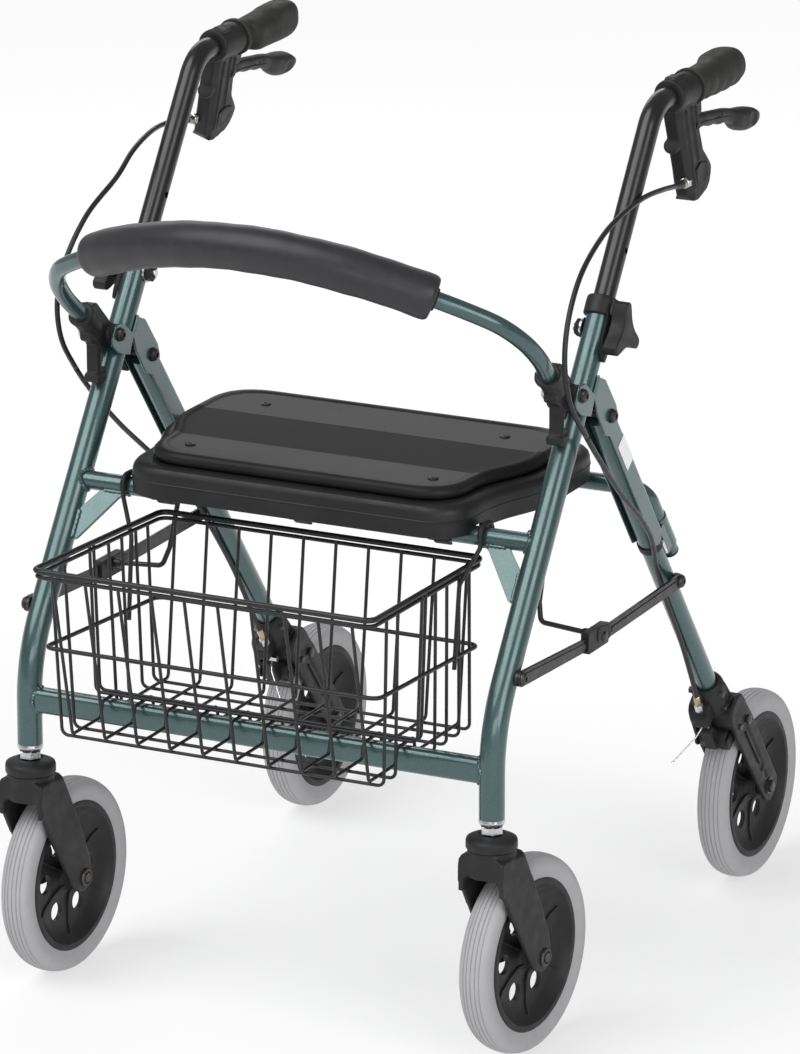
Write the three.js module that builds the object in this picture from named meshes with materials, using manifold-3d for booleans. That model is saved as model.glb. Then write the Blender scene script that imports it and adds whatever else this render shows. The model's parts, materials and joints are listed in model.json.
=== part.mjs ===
// Rollator walker: a folding four-wheeled walking frame with a seat, a backrest bar,
// hand brakes and a hanging basket.
// Millimetres, +Z up. The front (basket and casters) faces -Y, and the user stands at +Y,
// so +X is the user's left. Pieces are placed in a frame whose origin is on the ground between
// the legs, and the whole is then moved by SHIFT so that its box is centred on the origin.

import * as THREE from 'three';
import { mergeVertices } from 'three/addons/utils/BufferGeometryUtils.js';
import Module from 'manifold-3d';

const wasm = await Module();
wasm.setup();

// ---- driving dimensions ----

const GAP = 0.3; // clearance between pieces that touch
const SHIFT = { x: 6.03, y: 45 };

const LEG_X = 255; // half the distance between the left and right leg planes
const LEG_R = 12.7;
const LEG_FOOT_Z = 251;
const LEG_TOP_Z = 712;
const KNEE_Z = 347; // the front leg is upright below this height and leans back above it
const KNEE_BEND = 150;
const SWIVEL_Y = -348;
const FRONT_LEAN = THREE.MathUtils.degToRad(34.1);
const BORE_R = 11.5; // inside of the front leg where the handle tube slides
const BORE_DEPTH = 190;

const WHEEL_R = 100;
const TYRE_HALF = 17;
const RIM_R = 77;
const RIM_HOLES = 6;
const TRAIL = 60; // caster axle behind its swivel axis
const CASTER_TURN = { left: THREE.MathUtils.degToRad(-5.7), right: THREE.MathUtils.degToRad(-3) };
const REAR_AXLE_Y = 276;
const AXLE_R = 4;
const HOLE_R = 4.5;

const PIVOT = { y: -112, z: 602 }; // rear leg pivot
const REAR_DROP = PIVOT.z - WHEEL_R;
const REAR_RUN = REAR_AXLE_Y - PIVOT.y;
const REAR_LEAN = Math.atan2(REAR_RUN, REAR_DROP);
const REAR_LENGTH = Math.hypot(REAR_RUN, REAR_DROP);
const REAR_TUBE_R = 11.1;
const CHANNEL_HALF = 12.9;
const CHANNEL_END = 424; // lower end of the channel, along the leg from the axle

const BAR_Y = -242; // upper crossbar, which the seat hinges on
const BAR_Z = 504;
const BAR_R = 9.5;
const LOW_BAR_Z = 304;
const LOW_BAR = { deep: 18, high: 25, round: 6 };

const HANDLE_R = 11;
const HANDLE_LOW_Z = 640;
const HANDLE_BEND = 45;
const GRIP_Z = 886;
const CLAMP = { start: 52, end: 98, radius: 17 };
const GRIP = { start: 98.5, end: 216, tubeEnd: 200 };
const BRAKE_ROLL = { left: 0, right: THREE.MathUtils.degToRad(19) }; // each brake turned round its grip
const HOUSING_HALF = 11;
const LEVER_HALF = 7;
const PADDLE_HALF = 11;

const BACK_BAR_R = 8.5;
const BACK_PAD_R = 22.5;
const BACK_PAD_HALF = 184;
const BACK_RISE = 197; // reach of the backrest bar from its sockets to its middle
const BACK_SAG = 57; // how far the bar falls back from that at BACK_SAG_X
const BACK_SAG_X = 182;
const BACK_TILT = THREE.MathUtils.degToRad(42);
const SOCKET = { y: -229, z: 670, radius: 13.5, depth: 27 };

const SEAT = { front: -284, rear: -3, low: 507, deck: 540, top: 553, frontHalf: 187, rearHalf: 213 };
const SKIRT = 3;
const PAD_INSET = 16;

const CROSS_TUBE = { x: 257.5, y: -1.5, z: 497, radius: 9, bend: 24, arm: 105 };

const BRACE_FRONT = { y: -318, z: 392 };
const BRACE_MID = { y: -137, z: 383 };
const BRACE_REAR = { y: 54.8, z: 386 };
const BRACE_HALF_HEIGHT = 7;
const BRACE_X = [270.3, 273.3]; // inner and outer face of the flat brace links

const ROD_R = 2.5;
const CABLE_R = 2.7;

// ---- materials ----

function finish(color, roughness, metalness) {
  return new THREE.MeshStandardMaterial({ color, roughness, metalness });
}

const GREEN = finish(0x4f7473, 0.35, 0.6);
const BLACK_TUBE = finish(0x18181a, 0.2, 0.4);
const BLACK_PLASTIC = finish(0x2a2a2c, 0.55, 0);
const BLACK_WIRE = finish(0x1d1d1f, 0.4, 0.2);
const GRIP_RUBBER = finish(0x2d2c2c, 0.8, 0);
const TYRE_GREY = finish(0xb4b4b8, 0.75, 0);
const FOAM = finish(0x3a3a3d, 0.85, 0);
const STEEL = finish(0xb9bcc0, 0.3, 0.9);
const CABLE_BLACK = finish(0x1b1b1c, 0.5, 0);

// ---- geometry helpers ----

const at = (x, y, z) => new THREE.Vector3(x, y, z);

// Keeps positions only, with shared vertices merged, no collapsed faces, and faces pointing out.
function closed(geometry) {
  const plain = new THREE.BufferGeometry();
  plain.setAttribute('position', geometry.getAttribute('position').clone());
  if (geometry.index) plain.setIndex(geometry.index.clone());
  const merged = mergeVertices(plain, 1e-3);
  const index = merged.index.array;
  const kept = [];
  for (let i = 0; i < index.length; i += 3) {
    const [a, b, c] = [index[i], index[i + 1], index[i + 2]];
    if (a !== b && b !== c && c !== a) kept.push(a, b, c);
  }
  merged.setIndex(kept);
  if (signedVolume(merged) < 0) flip(merged);
  return merged;
}

function signedVolume(geometry) {
  const position = geometry.getAttribute('position');
  const index = geometry.index.array;
  const corner = (i) => new THREE.Vector3().fromBufferAttribute(position, index[i]);
  let sum = 0;
  for (let i = 0; i < index.length; i += 3) {
    sum += corner(i).dot(corner(i + 1).cross(corner(i + 2)));
  }
  return sum / 6;
}

function flip(geometry) {
  const index = geometry.index.array;
  for (let i = 0; i < index.length; i += 3) {
    [index[i], index[i + 1]] = [index[i + 1], index[i]];
  }
}

function toSolid(geometry) {
  const source = closed(geometry);
  return new wasm.Manifold(new wasm.Mesh({
    numProp: 3,
    vertProperties: new Float32Array(source.getAttribute('position').array),
    triVerts: new Uint32Array(source.index.array),
  }));
}

function toGeometry(solid) {
  const mesh = solid.getMesh();
  const geometry = new THREE.BufferGeometry();
  geometry.setAttribute('position', new THREE.BufferAttribute(new Float32Array(mesh.vertProperties), 3));
  geometry.setIndex(new THREE.BufferAttribute(new Uint32Array(mesh.triVerts), 1));
  return geometry;
}

function join(first, ...others) {
  return toGeometry(others.reduce((sum, g) => sum.add(toSolid(g)), toSolid(first)));
}

function cut(first, ...tools) {
  return toGeometry(tools.reduce((rest, g) => rest.subtract(toSolid(g)), toSolid(first)));
}

const common = (first, second) => toGeometry(toSolid(first).intersect(toSolid(second)));

// A path of straight runs with round corners, stepped only where it turns.
class Route extends THREE.Curve {
  constructor(corners, radius = 0, arcSteps = 6) {
    super();
    this.stops = [];
    this.headings = [];
    corners.forEach((corner, i) => {
      const before = i > 0 ? corner.clone().sub(corners[i - 1]).normalize() : null;
      const after = i < corners.length - 1 ? corners[i + 1].clone().sub(corner).normalize() : null;
      if (before && after) this.addArc(corner, before, after, radius, arcSteps);
      else this.addStop(corner, before ?? after);
    });
    this.steps = this.stops.length - 1;
  }

  addStop(point, heading) {
    this.stops.push(point.clone());
    this.headings.push(heading.clone());
  }

  addArc(corner, before, after, radius, arcSteps) {
    const turn = before.angleTo(after);
    const inward = after.clone().addScaledVector(before, -before.dot(after)).normalize();
    const start = corner.clone().addScaledVector(before, -radius * Math.tan(turn / 2));
    const centre = start.clone().addScaledVector(inward, radius);
    for (let i = 0; i <= arcSteps; i += 1) {
      const angle = (turn * i) / arcSteps;
      const point = centre.clone().addScaledVector(inward, -radius * Math.cos(angle));
      point.addScaledVector(before, radius * Math.sin(angle));
      const heading = before.clone().multiplyScalar(Math.cos(angle));
      heading.addScaledVector(inward, Math.sin(angle));
      this.addStop(point, heading);
    }
  }

  between(list, u) {
    const place = THREE.MathUtils.clamp(u, 0, 1) * this.steps;
    const low = Math.min(Math.floor(place + 1e-6), this.steps - 1);
    return list[low].clone().lerp(list[low + 1], place - low);
  }

  getPoint(u) {
    return this.between(this.stops, u);
  }

  getPointAt(u) {
    return this.between(this.stops, u);
  }

  getTangentAt(u) {
    return this.between(this.headings, u).normalize();
  }
}

function circle(radius) {
  return new THREE.Shape().absarc(0, 0, radius, 0, Math.PI * 2, false);
}

function sweep(shape, path, steps, sides) {
  return new THREE.ExtrudeGeometry(shape, {
    steps, curveSegments: sides / 2, extrudePath: path, bevelEnabled: false,
  });
}

const tube = (path, radius, sides = 12) => sweep(circle(radius), path, path.steps, sides);
const rod = (from, to, radius, sides = 12) => tube(new Route([from, to]), radius, sides);
const pinX = (x0, x1, y, z, radius, sides = 10) => rod(at(x0, y, z), at(x1, y, z), radius, sides);

// A flat plate: an outline in the YZ plane, thick from x0 to x1.
function plate(outline, x0, x1, curveSegments = 4) {
  const depth = Math.abs(x1 - x0);
  const geometry = new THREE.ExtrudeGeometry(outline, { depth, curveSegments, bevelEnabled: false });
  geometry.applyMatrix4(new THREE.Matrix4().makeBasis(at(0, 1, 0), at(0, 0, 1), at(1, 0, 0)));
  return geometry.translate(Math.min(x0, x1), 0, 0);
}

function block(x0, x1, y0, y1, z0, z1) {
  const geometry = new THREE.BoxGeometry(Math.abs(x1 - x0), y1 - y0, z1 - z0);
  return geometry.translate((x0 + x1) / 2, (y0 + y1) / 2, (z0 + z1) / 2);
}

const outlineOf = (points) => new THREE.Shape(points.map(([y, z]) => new THREE.Vector2(y, z)));

// The outline of a belt round two circles.
function belt(a, b) {
  const dy = b.y - a.y;
  const dz = b.z - a.z;
  const side = Math.acos((a.radius - b.radius) / Math.hypot(dy, dz));
  const heading = Math.atan2(dz, dy);
  const shape = new THREE.Shape();
  shape.absarc(a.y, a.z, a.radius, heading + side, heading - side, false);
  shape.absarc(b.y, b.z, b.radius, heading - side, heading + side, false);
  return shape;
}

// A turned piece. The profile holds [radius, distance along the axis] pairs.
function turned(profile, axis, segments) {
  const geometry = new THREE.LatheGeometry(profile.map(([r, h]) => new THREE.Vector2(r, h)), segments);
  if (axis === 'x') geometry.rotateZ(-Math.PI / 2);
  if (axis === 'z') geometry.rotateX(Math.PI / 2);
  return geometry;
}

function named(name, geometry, material) {
  const mesh = new THREE.Mesh(closed(geometry), material);
  mesh.name = name;
  return mesh;
}

function placed(parent, x, y, z, lean = 0) {
  const group = new THREE.Group();
  group.position.set(x, y, z);
  group.rotation.x = lean;
  parent.add(group);
  return group;
}

// ---- front frame ----

const frontLine = (z) => SWIVEL_Y + (z - KNEE_Z) * Math.tan(FRONT_LEAN);
const legPoint = (side, z) => at(side * LEG_X, frontLine(z), z);

function legRoute(side, radius) {
  const foot = at(side * LEG_X, SWIVEL_Y, LEG_FOOT_Z);
  const knee = at(side * LEG_X, SWIVEL_Y, KNEE_Z);
  return tube(new Route([foot, knee, legPoint(side, LEG_TOP_Z)], KNEE_BEND, 4), radius, 16);
}

function frontLeg(side) {
  const top = LEG_TOP_Z + 10;
  const boreFloor = legPoint(side, top - BORE_DEPTH * Math.cos(FRONT_LEAN));
  const handleBore = rod(boreFloor, legPoint(side, top), BORE_R, 16);
  const stemBore = rod(at(side * LEG_X, SWIVEL_Y, LEG_FOOT_Z - 5), at(side * LEG_X, SWIVEL_Y, 296), 6.6);
  return cut(legRoute(side, LEG_R), handleBore, stemBore);
}

const legSleeves = () => [1, -1].map((side) => legRoute(side, LEG_R + GAP));

// Flat gusset from the crossbar down and out to the leg, in the plane of the leaning leg.
function gusset(side) {
  const half = 2;
  const corners = [[190, -6], [215, -6], [248, -38], [248, -62]];
  const outline = new THREE.Shape(corners.map(([x, s]) => new THREE.Vector2(x * side, s)));
  const bar = new THREE.ExtrudeGeometry(outline, { depth: half * 2, bevelEnabled: false });
  bar.translate(0, 0, -half);
  bar.rotateX(Math.PI / 2 - FRONT_LEAN);
  return bar.translate(0, BAR_Y, BAR_Z);
}

function upperCrossbar() {
  const bar = pinX(-LEG_X, LEG_X, BAR_Y, BAR_Z, BAR_R, 14);
  return cut(join(bar, gusset(1), gusset(-1)), ...legSleeves());
}

function lowerCrossbar() {
  const { deep, high, round } = LOW_BAR;
  const [w, h] = [deep / 2, high / 2];
  const section = new THREE.Shape();
  section.absarc(w - round, h - round, round, 0, Math.PI / 2);
  section.absarc(round - w, h - round, round, Math.PI / 2, Math.PI);
  section.absarc(round - w, round - h, round, Math.PI, Math.PI * 1.5);
  section.absarc(w - round, round - h, round, Math.PI * 1.5, Math.PI * 2);
  const bar = plate(section, -LEG_X, LEG_X, 2).translate(0, SWIVEL_Y, LOW_BAR_Z);
  return cut(bar, ...legSleeves());
}

// Pieces below are in the leaning frame of the front leg: origin at the knee, +Z up the leg.
const toLegFrame = (y, z) => at(0, y - SWIVEL_Y, z - KNEE_Z).applyAxisAngle(at(1, 0, 0), FRONT_LEAN);
const HINGE = toLegFrame(PIVOT.y, PIVOT.z);
const LUG = { y: -26, z: 336 }; // backrest pivot in that frame
const LEG_TOP = (LEG_TOP_Z - KNEE_Z) / Math.cos(FRONT_LEAN);
const CHEEK = [13.3, 15.8];

function hingeBracket() {
  const cheek = outlineOf([
    [-15, 322], [-15, 352], [16, 372], [20, 372], [58, 352], [58, 330], [36, 318], [12, 312],
  ]);
  const lug = belt({ y: LUG.y, z: LUG.z, radius: 10 }, { y: 0, z: 336, radius: 15 });
  const ear = belt({ y: HINGE.y, z: HINGE.z, radius: 15 }, { y: 16, z: 342, radius: 28 });
  const wall = (s) => [cheek, lug, ear].map((outline) => plate(outline, CHEEK[0] * s, CHEEK[1] * s));
  const sides = [1, -1].map((s) => join(...wall(s)));
  const web = block(-CHEEK[1], CHEEK[1], 13.4, 16, 316, 372);
  const holes = [HINGE, LUG].map((p) => pinX(-20, 20, p.y, p.z, HOLE_R));
  return cut(join(...sides, web), ...holes);
}

function collar() {
  const inner = LEG_R + GAP;
  return turned([
    [inner, -18], [16.4, -18], [16.4, 4], [BORE_R, 4], [BORE_R, 0.4], [inner, 0.4], [inner, -18],
  ], 'z', 16);
}

// A bolt along X with a domed head at each end.
function doubleBolt(half) {
  const head = half + 4;
  const profile = [[0, -head], [5, -head], [7, -half - 2], [7, -half], [AXLE_R, -half]];
  return turned([...profile, ...profile.map(([r, h]) => [r, -h]).reverse()], 'x', 8);
}

// Three-lobed clamp knob on the outside of the leg, with its screw end against the tube.
function heightKnob(side) {
  const outline = new THREE.Shape();
  for (let i = 0; i < 30; i += 1) {
    const angle = (i / 30) * Math.PI * 2;
    const reach = 23 + 8 * Math.cos(3 * angle);
    outline.lineTo(reach * Math.cos(angle), reach * Math.sin(angle));
  }
  outline.curves.shift();
  const body = plate(outline, 18 * side, 34 * side);
  return join(body, pinX(13.2 * side, 20 * side, 0, 0, 5, 12));
}

// ---- handles ----

function handleTube(side) {
  const low = legPoint(side, HANDLE_LOW_Z);
  const bend = legPoint(side, GRIP_Z);
  const end = at(side * LEG_X, GRIP.tubeEnd, GRIP_Z);
  return tube(new Route([low, bend, end], HANDLE_BEND, 5), HANDLE_R, 16);
}

function grip() {
  const bore = HANDLE_R + 0.6;
  return turned([
    [0, GRIP.tubeEnd + 1], [bore, GRIP.tubeEnd + 1], [bore, GRIP.start], [19, GRIP.start], [19, 104],
    [16, 109], [15.5, 130], [18.5, 185], [18.5, 205], [15, 213], [0, GRIP.end],
  ], 'y', 16);
}

const LEVER_PIVOT = { y: 100, z: 848 };

function brakeHousing() {
  const { start, end, radius } = CLAMP;
  const ring = turned([[0, start], [radius, start], [radius, end], [0, end]], 'y', 16);
  ring.translate(0, 0, GRIP_Z);
  const body = plate(outlineOf([
    [53, 880], [56, 862], [90, 774], [104, 770], [130, 779], [136, 798], [112, 824], [107, 840], [97, 864],
    [97, 880],
  ]), -HOUSING_HALF, HOUSING_HALF);
  const bore = rod(at(0, 40, GRIP_Z), at(0, 110, GRIP_Z), HANDLE_R + 0.6, 16);
  const slot = block(-LEVER_HALF - 0.6, LEVER_HALF + 0.6, 88, 140, 830, 868);
  return cut(join(ring, body), bore, slot);
}

function brakeLever() {
  const arm = plate(outlineOf([
    [93, 842], [93, 853], [103, 856], [120, 855], [184, 848], [232, 838], [250, 832], [250, 818], [200, 825],
    [160, 832], [130, 839],
  ]), -LEVER_HALF, LEVER_HALF);
  const paddle = plate(outlineOf([
    [207, 822], [216, 838], [240, 836], [258, 829], [268, 819], [262, 811], [240, 808], [218, 812],
  ]), -PADDLE_HALF, PADDLE_HALF);
  return join(arm, paddle);
}

// ---- backrest ----

// A point of the tilted backrest plane: x across, reach up and forward from the sockets.
function backPoint(x, reach) {
  return at(x, SOCKET.y - reach * Math.cos(BACK_TILT), SOCKET.z + reach * Math.sin(BACK_TILT));
}

const backReach = (x) => BACK_RISE - BACK_SAG * (x / BACK_SAG_X) ** 2;

function backBar(radius, sides) {
  const half = [[256, -22], [257, 6], [259, 34], [254, 68], [239, 98], [213, 120]];
  const middle = [180, 135, 90, 45].map((x) => [x, backReach(x)]);
  const left = [...half, ...middle];
  const points = [...left, [0, BACK_RISE], ...left.map(([x, s]) => [-x, s]).reverse()];
  const path = new THREE.CatmullRomCurve3(points.map(([x, s]) => backPoint(x, s)), false, 'centripetal');
  return sweep(circle(radius), path, 36, sides);
}

function backPad() {
  const steps = 14;
  const points = [];
  for (let i = 0; i <= steps; i += 1) {
    const x = BACK_PAD_HALF * (1 - (2 * i) / steps);
    points.push(backPoint(x, backReach(x)));
  }
  const path = new THREE.CatmullRomCurve3(points, false, 'centripetal');
  return cut(sweep(circle(BACK_PAD_R), path, steps, 12), backBar(BACK_BAR_R + GAP, 8));
}

function backBracket(side) {
  const hub = legPoint(side, KNEE_Z).add(at(0, LUG.y, LUG.z).applyAxisAngle(at(1, 0, 0), -FRONT_LEAN));
  const half = 9;
  const body = plate(outlineOf([
    [-258, 676], [-253, 655], [-238, 642], [-240, 612], [-233, 603], [-207, 595], [-195, 603], [-198, 611],
    [-206, 616],
    [-203, 627], [-192, 630], [-181, 629], [-173, 636], [-174, 646], [-182, 652], [-206, 668], [-222, 680],
  ]), (LEG_X - half) * side, (LEG_X + half) * side);
  const socketLow = backPoint(256 * side, -SOCKET.depth);
  const socket = rod(socketLow, backPoint(256 * side, 1), SOCKET.radius);
  const bolt = pinX((LEG_X - 20) * side, (LEG_X + 20) * side, hub.y, hub.z, HOLE_R);
  return cut(join(body, socket), backBar(BACK_BAR_R + GAP, 8), bolt);
}

// ---- seat ----

// Half of the seat outline runs from the front middle round the left side to the rear middle.
function seatOutline(inset) {
  const front = SEAT.front + inset;
  const rear = SEAT.rear - inset;
  const narrow = SEAT.frontHalf - inset;
  const wide = SEAT.rearHalf - inset;
  const corner = 48;
  const shape = new THREE.Shape();
  shape.moveTo(-(narrow - corner), front);
  shape.lineTo(narrow - corner, front);
  shape.quadraticCurveTo(narrow, front, narrow, front + corner);
  shape.bezierCurveTo(narrow, -175, wide, -165, wide, -115);
  shape.lineTo(wide, rear - corner);
  shape.quadraticCurveTo(wide, rear, wide - corner, rear);
  shape.lineTo(corner - wide, rear);
  shape.quadraticCurveTo(-wide, rear, -wide, rear - corner);
  shape.lineTo(-wide, -115);
  shape.bezierCurveTo(-wide, -165, -narrow, -175, -narrow, front + corner);
  shape.quadraticCurveTo(-narrow, front, -(narrow - corner), front);
  return shape;
}

function seatSlab(inset, low, high) {
  const depth = high - low;
  const options = { depth, curveSegments: 6, bevelEnabled: false };
  return new THREE.ExtrudeGeometry(seatOutline(inset), options).translate(0, 0, low);
}

function seatShell() {
  const pocket = seatSlab(SKIRT, SEAT.low - 5, SEAT.deck - 5);
  const barSlot = block(-230, 230, BAR_Y - BAR_R - 2, BAR_Y + BAR_R + 2, SEAT.low - 5, BAR_Z + BAR_R + 1);
  return cut(seatSlab(0, SEAT.low, SEAT.deck), pocket, barSlot);
}

const seatPad = () => seatSlab(PAD_INSET, SEAT.deck + GAP, SEAT.top);

// ---- rear frame ----
// Pieces below are in the leaning frame of the rear leg: origin at the axle, +Z up the leg.

function rearChannel() {
  const [wide, inner, front, back] = [CHANNEL_HALF, REAR_TUBE_R + GAP, -11, 13];
  const section = new THREE.Shape([
    [-wide, front], [-inner, front], [-inner, inner], [inner, inner], [inner, front], [wide, front],
    [wide, back], [-wide, back],
  ].map(([x, y]) => new THREE.Vector2(x, y)));
  const length = REAR_LENGTH + 14 - CHANNEL_END;
  const bar = new THREE.ExtrudeGeometry(section, { depth: length, bevelEnabled: false });
  bar.translate(0, 0, CHANNEL_END);
  const rounded = belt({ y: 0, z: CHANNEL_END + 13, radius: 13 }, { y: 0, z: REAR_LENGTH, radius: 13.4 });
  return cut(common(bar, plate(rounded, -20, 20)), pinX(-20, 20, 0, REAR_LENGTH, HOLE_R));
}

const rearTube = () => rod(at(0, 0, 149), at(0, 0, 505), REAR_TUBE_R, 16);

const BRAKE_PIN = { y: 8, z: 110, radius: 3.2 };

function rearFork() {
  const socket = rod(at(0, 0, 138), at(0, 0, 178), 17);
  const crown = block(-25, 25, -18, 18, 118, 142);
  const arm = belt({ y: 0, z: 125, radius: 20 }, { y: 2, z: 0, radius: 18 });
  const arms = [1, -1].map((s) => plate(arm, 20 * s, 25 * s));
  const bore = rod(at(0, 0, 148.5), at(0, 0, 190), REAR_TUBE_R + 0.5, 16);
  const axleHole = pinX(-30, 30, 0, 0, HOLE_R);
  const pinHole = pinX(-30, 30, BRAKE_PIN.y, BRAKE_PIN.z, BRAKE_PIN.radius + 0.5);
  return cut(join(crown, socket, ...arms), bore, axleHole, pinHole);
}

// Brake shoe on two straps that swing on a pin through the fork arms.
function brakeArm() {
  const slant = THREE.MathUtils.degToRad(15);
  const shoe = block(-13, 13, -13, 13, WHEEL_R + 3.5, WHEEL_R + 16).rotateX(slant);
  const strap = belt({ y: BRAKE_PIN.y, z: BRAKE_PIN.z, radius: 5 }, { y: -30, z: 110, radius: 5 });
  const straps = [1, -1].map((s) => plate(strap, 12 * s, 15 * s));
  const pin = pinX(-25, 25, BRAKE_PIN.y, BRAKE_PIN.z, BRAKE_PIN.radius, 8);
  return join(shoe, ...straps, pin);
}

function crossTube() {
  const { x, y, z, radius, bend, arm } = CROSS_TUBE;
  const end = [y + arm * Math.sin(REAR_LEAN), z - arm * Math.cos(REAR_LEAN)];
  const corners = [at(x, ...end), at(x, y, z), at(-x, y, z), at(-x, ...end)];
  return tube(new Route(corners, bend, 5), radius, 12);
}

// ---- wheels and axles ----

function tyre() {
  const half = TYRE_HALF;
  const inner = RIM_R + GAP;
  return turned([
    [inner, -half + 3], [90, -half], [WHEEL_R, -9], [WHEEL_R, 9], [90, half], [inner, half - 3],
    [inner, -half + 3],
  ], 'x', 32);
}

function rim() {
  const body = turned([
    [HOLE_R, -16], [15, -16], [17, -3], [62, -3], [68, -13], [RIM_R, -13], [RIM_R, 13], [68, 13], [62, 3],
    [17, 3],
    [15, 16], [HOLE_R, 16], [HOLE_R, -16],
  ], 'x', 16);
  const holes = [];
  for (let i = 0; i < RIM_HOLES; i += 1) {
    const angle = (i / RIM_HOLES) * Math.PI * 2;
    holes.push(pinX(-8, 8, 42 * Math.cos(angle), 42 * Math.sin(angle), 9, 6));
  }
  return cut(body, ...holes);
}

// Swivelling fork with its stem, hexagon nut and bearing cap.
function frontFork() {
  const nut = turned([[0, 244], [10, 244], [10, 250.5], [6.2, 250.5], [6.2, 292], [0, 292]], 'z', 6);
  const crown = turned([[0, 205], [24, 205], [24, 236], [15, 247], [0, 247]], 'z', 16);
  const shoulder = block(-25.5, 25.5, -20, 20, 206, 224);
  const arm = outlineOf([
    [-22, 222], [-23, 196], [-2, 159], [19, 126], [38, 95], [49, 87], [62, 86], [72, 98], [71, 116],
    [56, 152], [34, 196],
    [22, 218],
  ]);
  const arms = [1, -1].map((s) => plate(arm, 20 * s, 25.5 * s));
  const axleHole = pinX(-30, 30, TRAIL, WHEEL_R, HOLE_R);
  const headroom = pinX(-19.9, 19.9, TRAIL, WHEEL_R, WHEEL_R + 5, 24);
  return cut(join(crown, nut, shoulder, ...arms), axleHole, headroom);
}

// ---- brace links, lift rods, cables ----

function frontLink(side) {
  const [inner, outer] = BRACE_X.map((x) => x * side);
  const shift = -14; // the flat bar stops short of the middle rivet, inside the clevis
  const bar = belt(
    { ...BRACE_FRONT, radius: BRACE_HALF_HEIGHT },
    { y: BRACE_MID.y + shift, z: BRACE_MID.z, radius: BRACE_HALF_HEIGHT - 0.5 },
  );
  const spacer = pinX((LEG_X + LEG_R + GAP) * side, inner, BRACE_FRONT.y, BRACE_FRONT.z, 8, 12);
  const head = pinX(outer, (BRACE_X[1] + 4) * side, BRACE_FRONT.y, BRACE_FRONT.z, 6, 12);
  const box = outlineOf([[-172, 375], [-172, 395], [-127, 395], [-127, 375]]);
  const clevis = plate(box, (BRACE_X[0] - 2.6) * side, (BRACE_X[1] + 2.6) * side);
  const room = [(BRACE_X[0] - 0.4) * side, (BRACE_X[1] + 0.4) * side];
  const hollow = block(...room, BRACE_MID.y - 13, -120, 370, 392.5);
  return cut(join(plate(bar, inner, outer), spacer, head, clevis), hollow);
}

function rearLink(side) {
  const [inner, outer] = BRACE_X.map((x) => x * side);
  const radius = BRACE_HALF_HEIGHT;
  const bar = belt({ ...BRACE_REAR, radius }, { ...BRACE_MID, radius });
  const spacer = pinX((LEG_X + REAR_TUBE_R + GAP) * side, inner, BRACE_REAR.y, BRACE_REAR.z, 8, 12);
  const head = pinX(outer, (BRACE_X[1] + 4) * side, BRACE_REAR.y, BRACE_REAR.z, 6, 12);
  return join(plate(bar, inner, outer), spacer, head);
}

function liftRod(side) {
  const corners = [[190, -102, 514], [203, -102, 514], [203, -148, 389], [BRACE_X[0] - 3, -148, 389]];
  return tube(new Route(corners.map(([x, y, z]) => at(x * side, y, z)), 5, 3), ROD_R, 8);
}

const CABLE_START = {
  left: [[262, 78, 793], [266, 50, 797], [270.5, 0, 804], [271, -40, 806], [270, -85, 801]],
  right: [[292, 78, 800], [294, 50, 805], [289, 0, 810], [282, -40, 810], [275, -85, 803]],
};
const CABLE_ROUTE = [
  [268, -130, 788], [271, -190, 760], [275, -226, 722], [278, -238, 685], [280, -229, 645], [282, -196, 604],
  [282, -160, 568], [280, -110, 524], [278, -55, 482],
  [272, -15, 448], [262, 20, 408], [258, 50, 369], [256, 92, 315], [255, 119, 274], [254, 136, 247],
  [253, 149, 226],
];

function brakeCable(label, side) {
  const points = [...CABLE_START[label], ...CABLE_ROUTE].map(([x, y, z]) => at(x * side, y, z));
  return sweep(circle(CABLE_R), new THREE.CatmullRomCurve3(points, false, 'centripetal'), 42, 8);
}

// ---- basket ----

const BASKET_HALF = 180;
const BASKET_WALL = 3;

function basket() {
  const outer = outlineOf([
    [-466, 481], [-429, 301], [-369, 301], [-364, 318], [-332, 318], [-327, 301], [-226, 301], [-207, 474],
  ]);
  const inner = outlineOf([
    [-463, 490], [-426, 304], [-371, 304], [-366, 321], [-330, 321], [-325, 304], [-229, 304], [-209, 490],
  ]);
  const room = BASKET_HALF - BASKET_WALL;
  const tub = cut(plate(outer, -BASKET_HALF, BASKET_HALF), plate(inner, -room, room));
  return join(tub, ...[1, -1].map(basketHook));
}

// Long hook up the side of the basket and over the upper crossbar.
function basketHook(side) {
  const reach = BAR_R + GAP + ROD_R + 0.4;
  const corners = [
    [BASKET_HALF, -277, 380], [BASKET_HALF + 1, -268, 460], [197, BAR_Y - reach, BAR_Z - 8],
    [197, BAR_Y - reach, BAR_Z + reach],
    [197, BAR_Y + reach, BAR_Z + reach], [197, BAR_Y + reach, BAR_Z - 10],
  ];
  return tube(new Route(corners.map(([x, y, z]) => at(x * side, y, z)), 10, 3), ROD_R, 8);
}

// ---- assembly ----

const rollator = placed(new THREE.Group(), SHIFT.x, SHIFT.y, 0);
rollator.add(named('upper_crossbar', upperCrossbar(), GREEN));
rollator.add(named('lower_crossbar', lowerCrossbar(), GREEN));
rollator.add(named('rear_cross_tube', crossTube(), GREEN));
rollator.add(named('backrest_tube', backBar(BACK_BAR_R, 8), GREEN));
rollator.add(named('backrest_pad', backPad(), FOAM));
rollator.add(named('seat_shell', seatShell(), BLACK_PLASTIC));
rollator.add(named('seat_pad', seatPad(), BLACK_PLASTIC));
rollator.add(named('basket', basket(), BLACK_WIRE));

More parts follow.
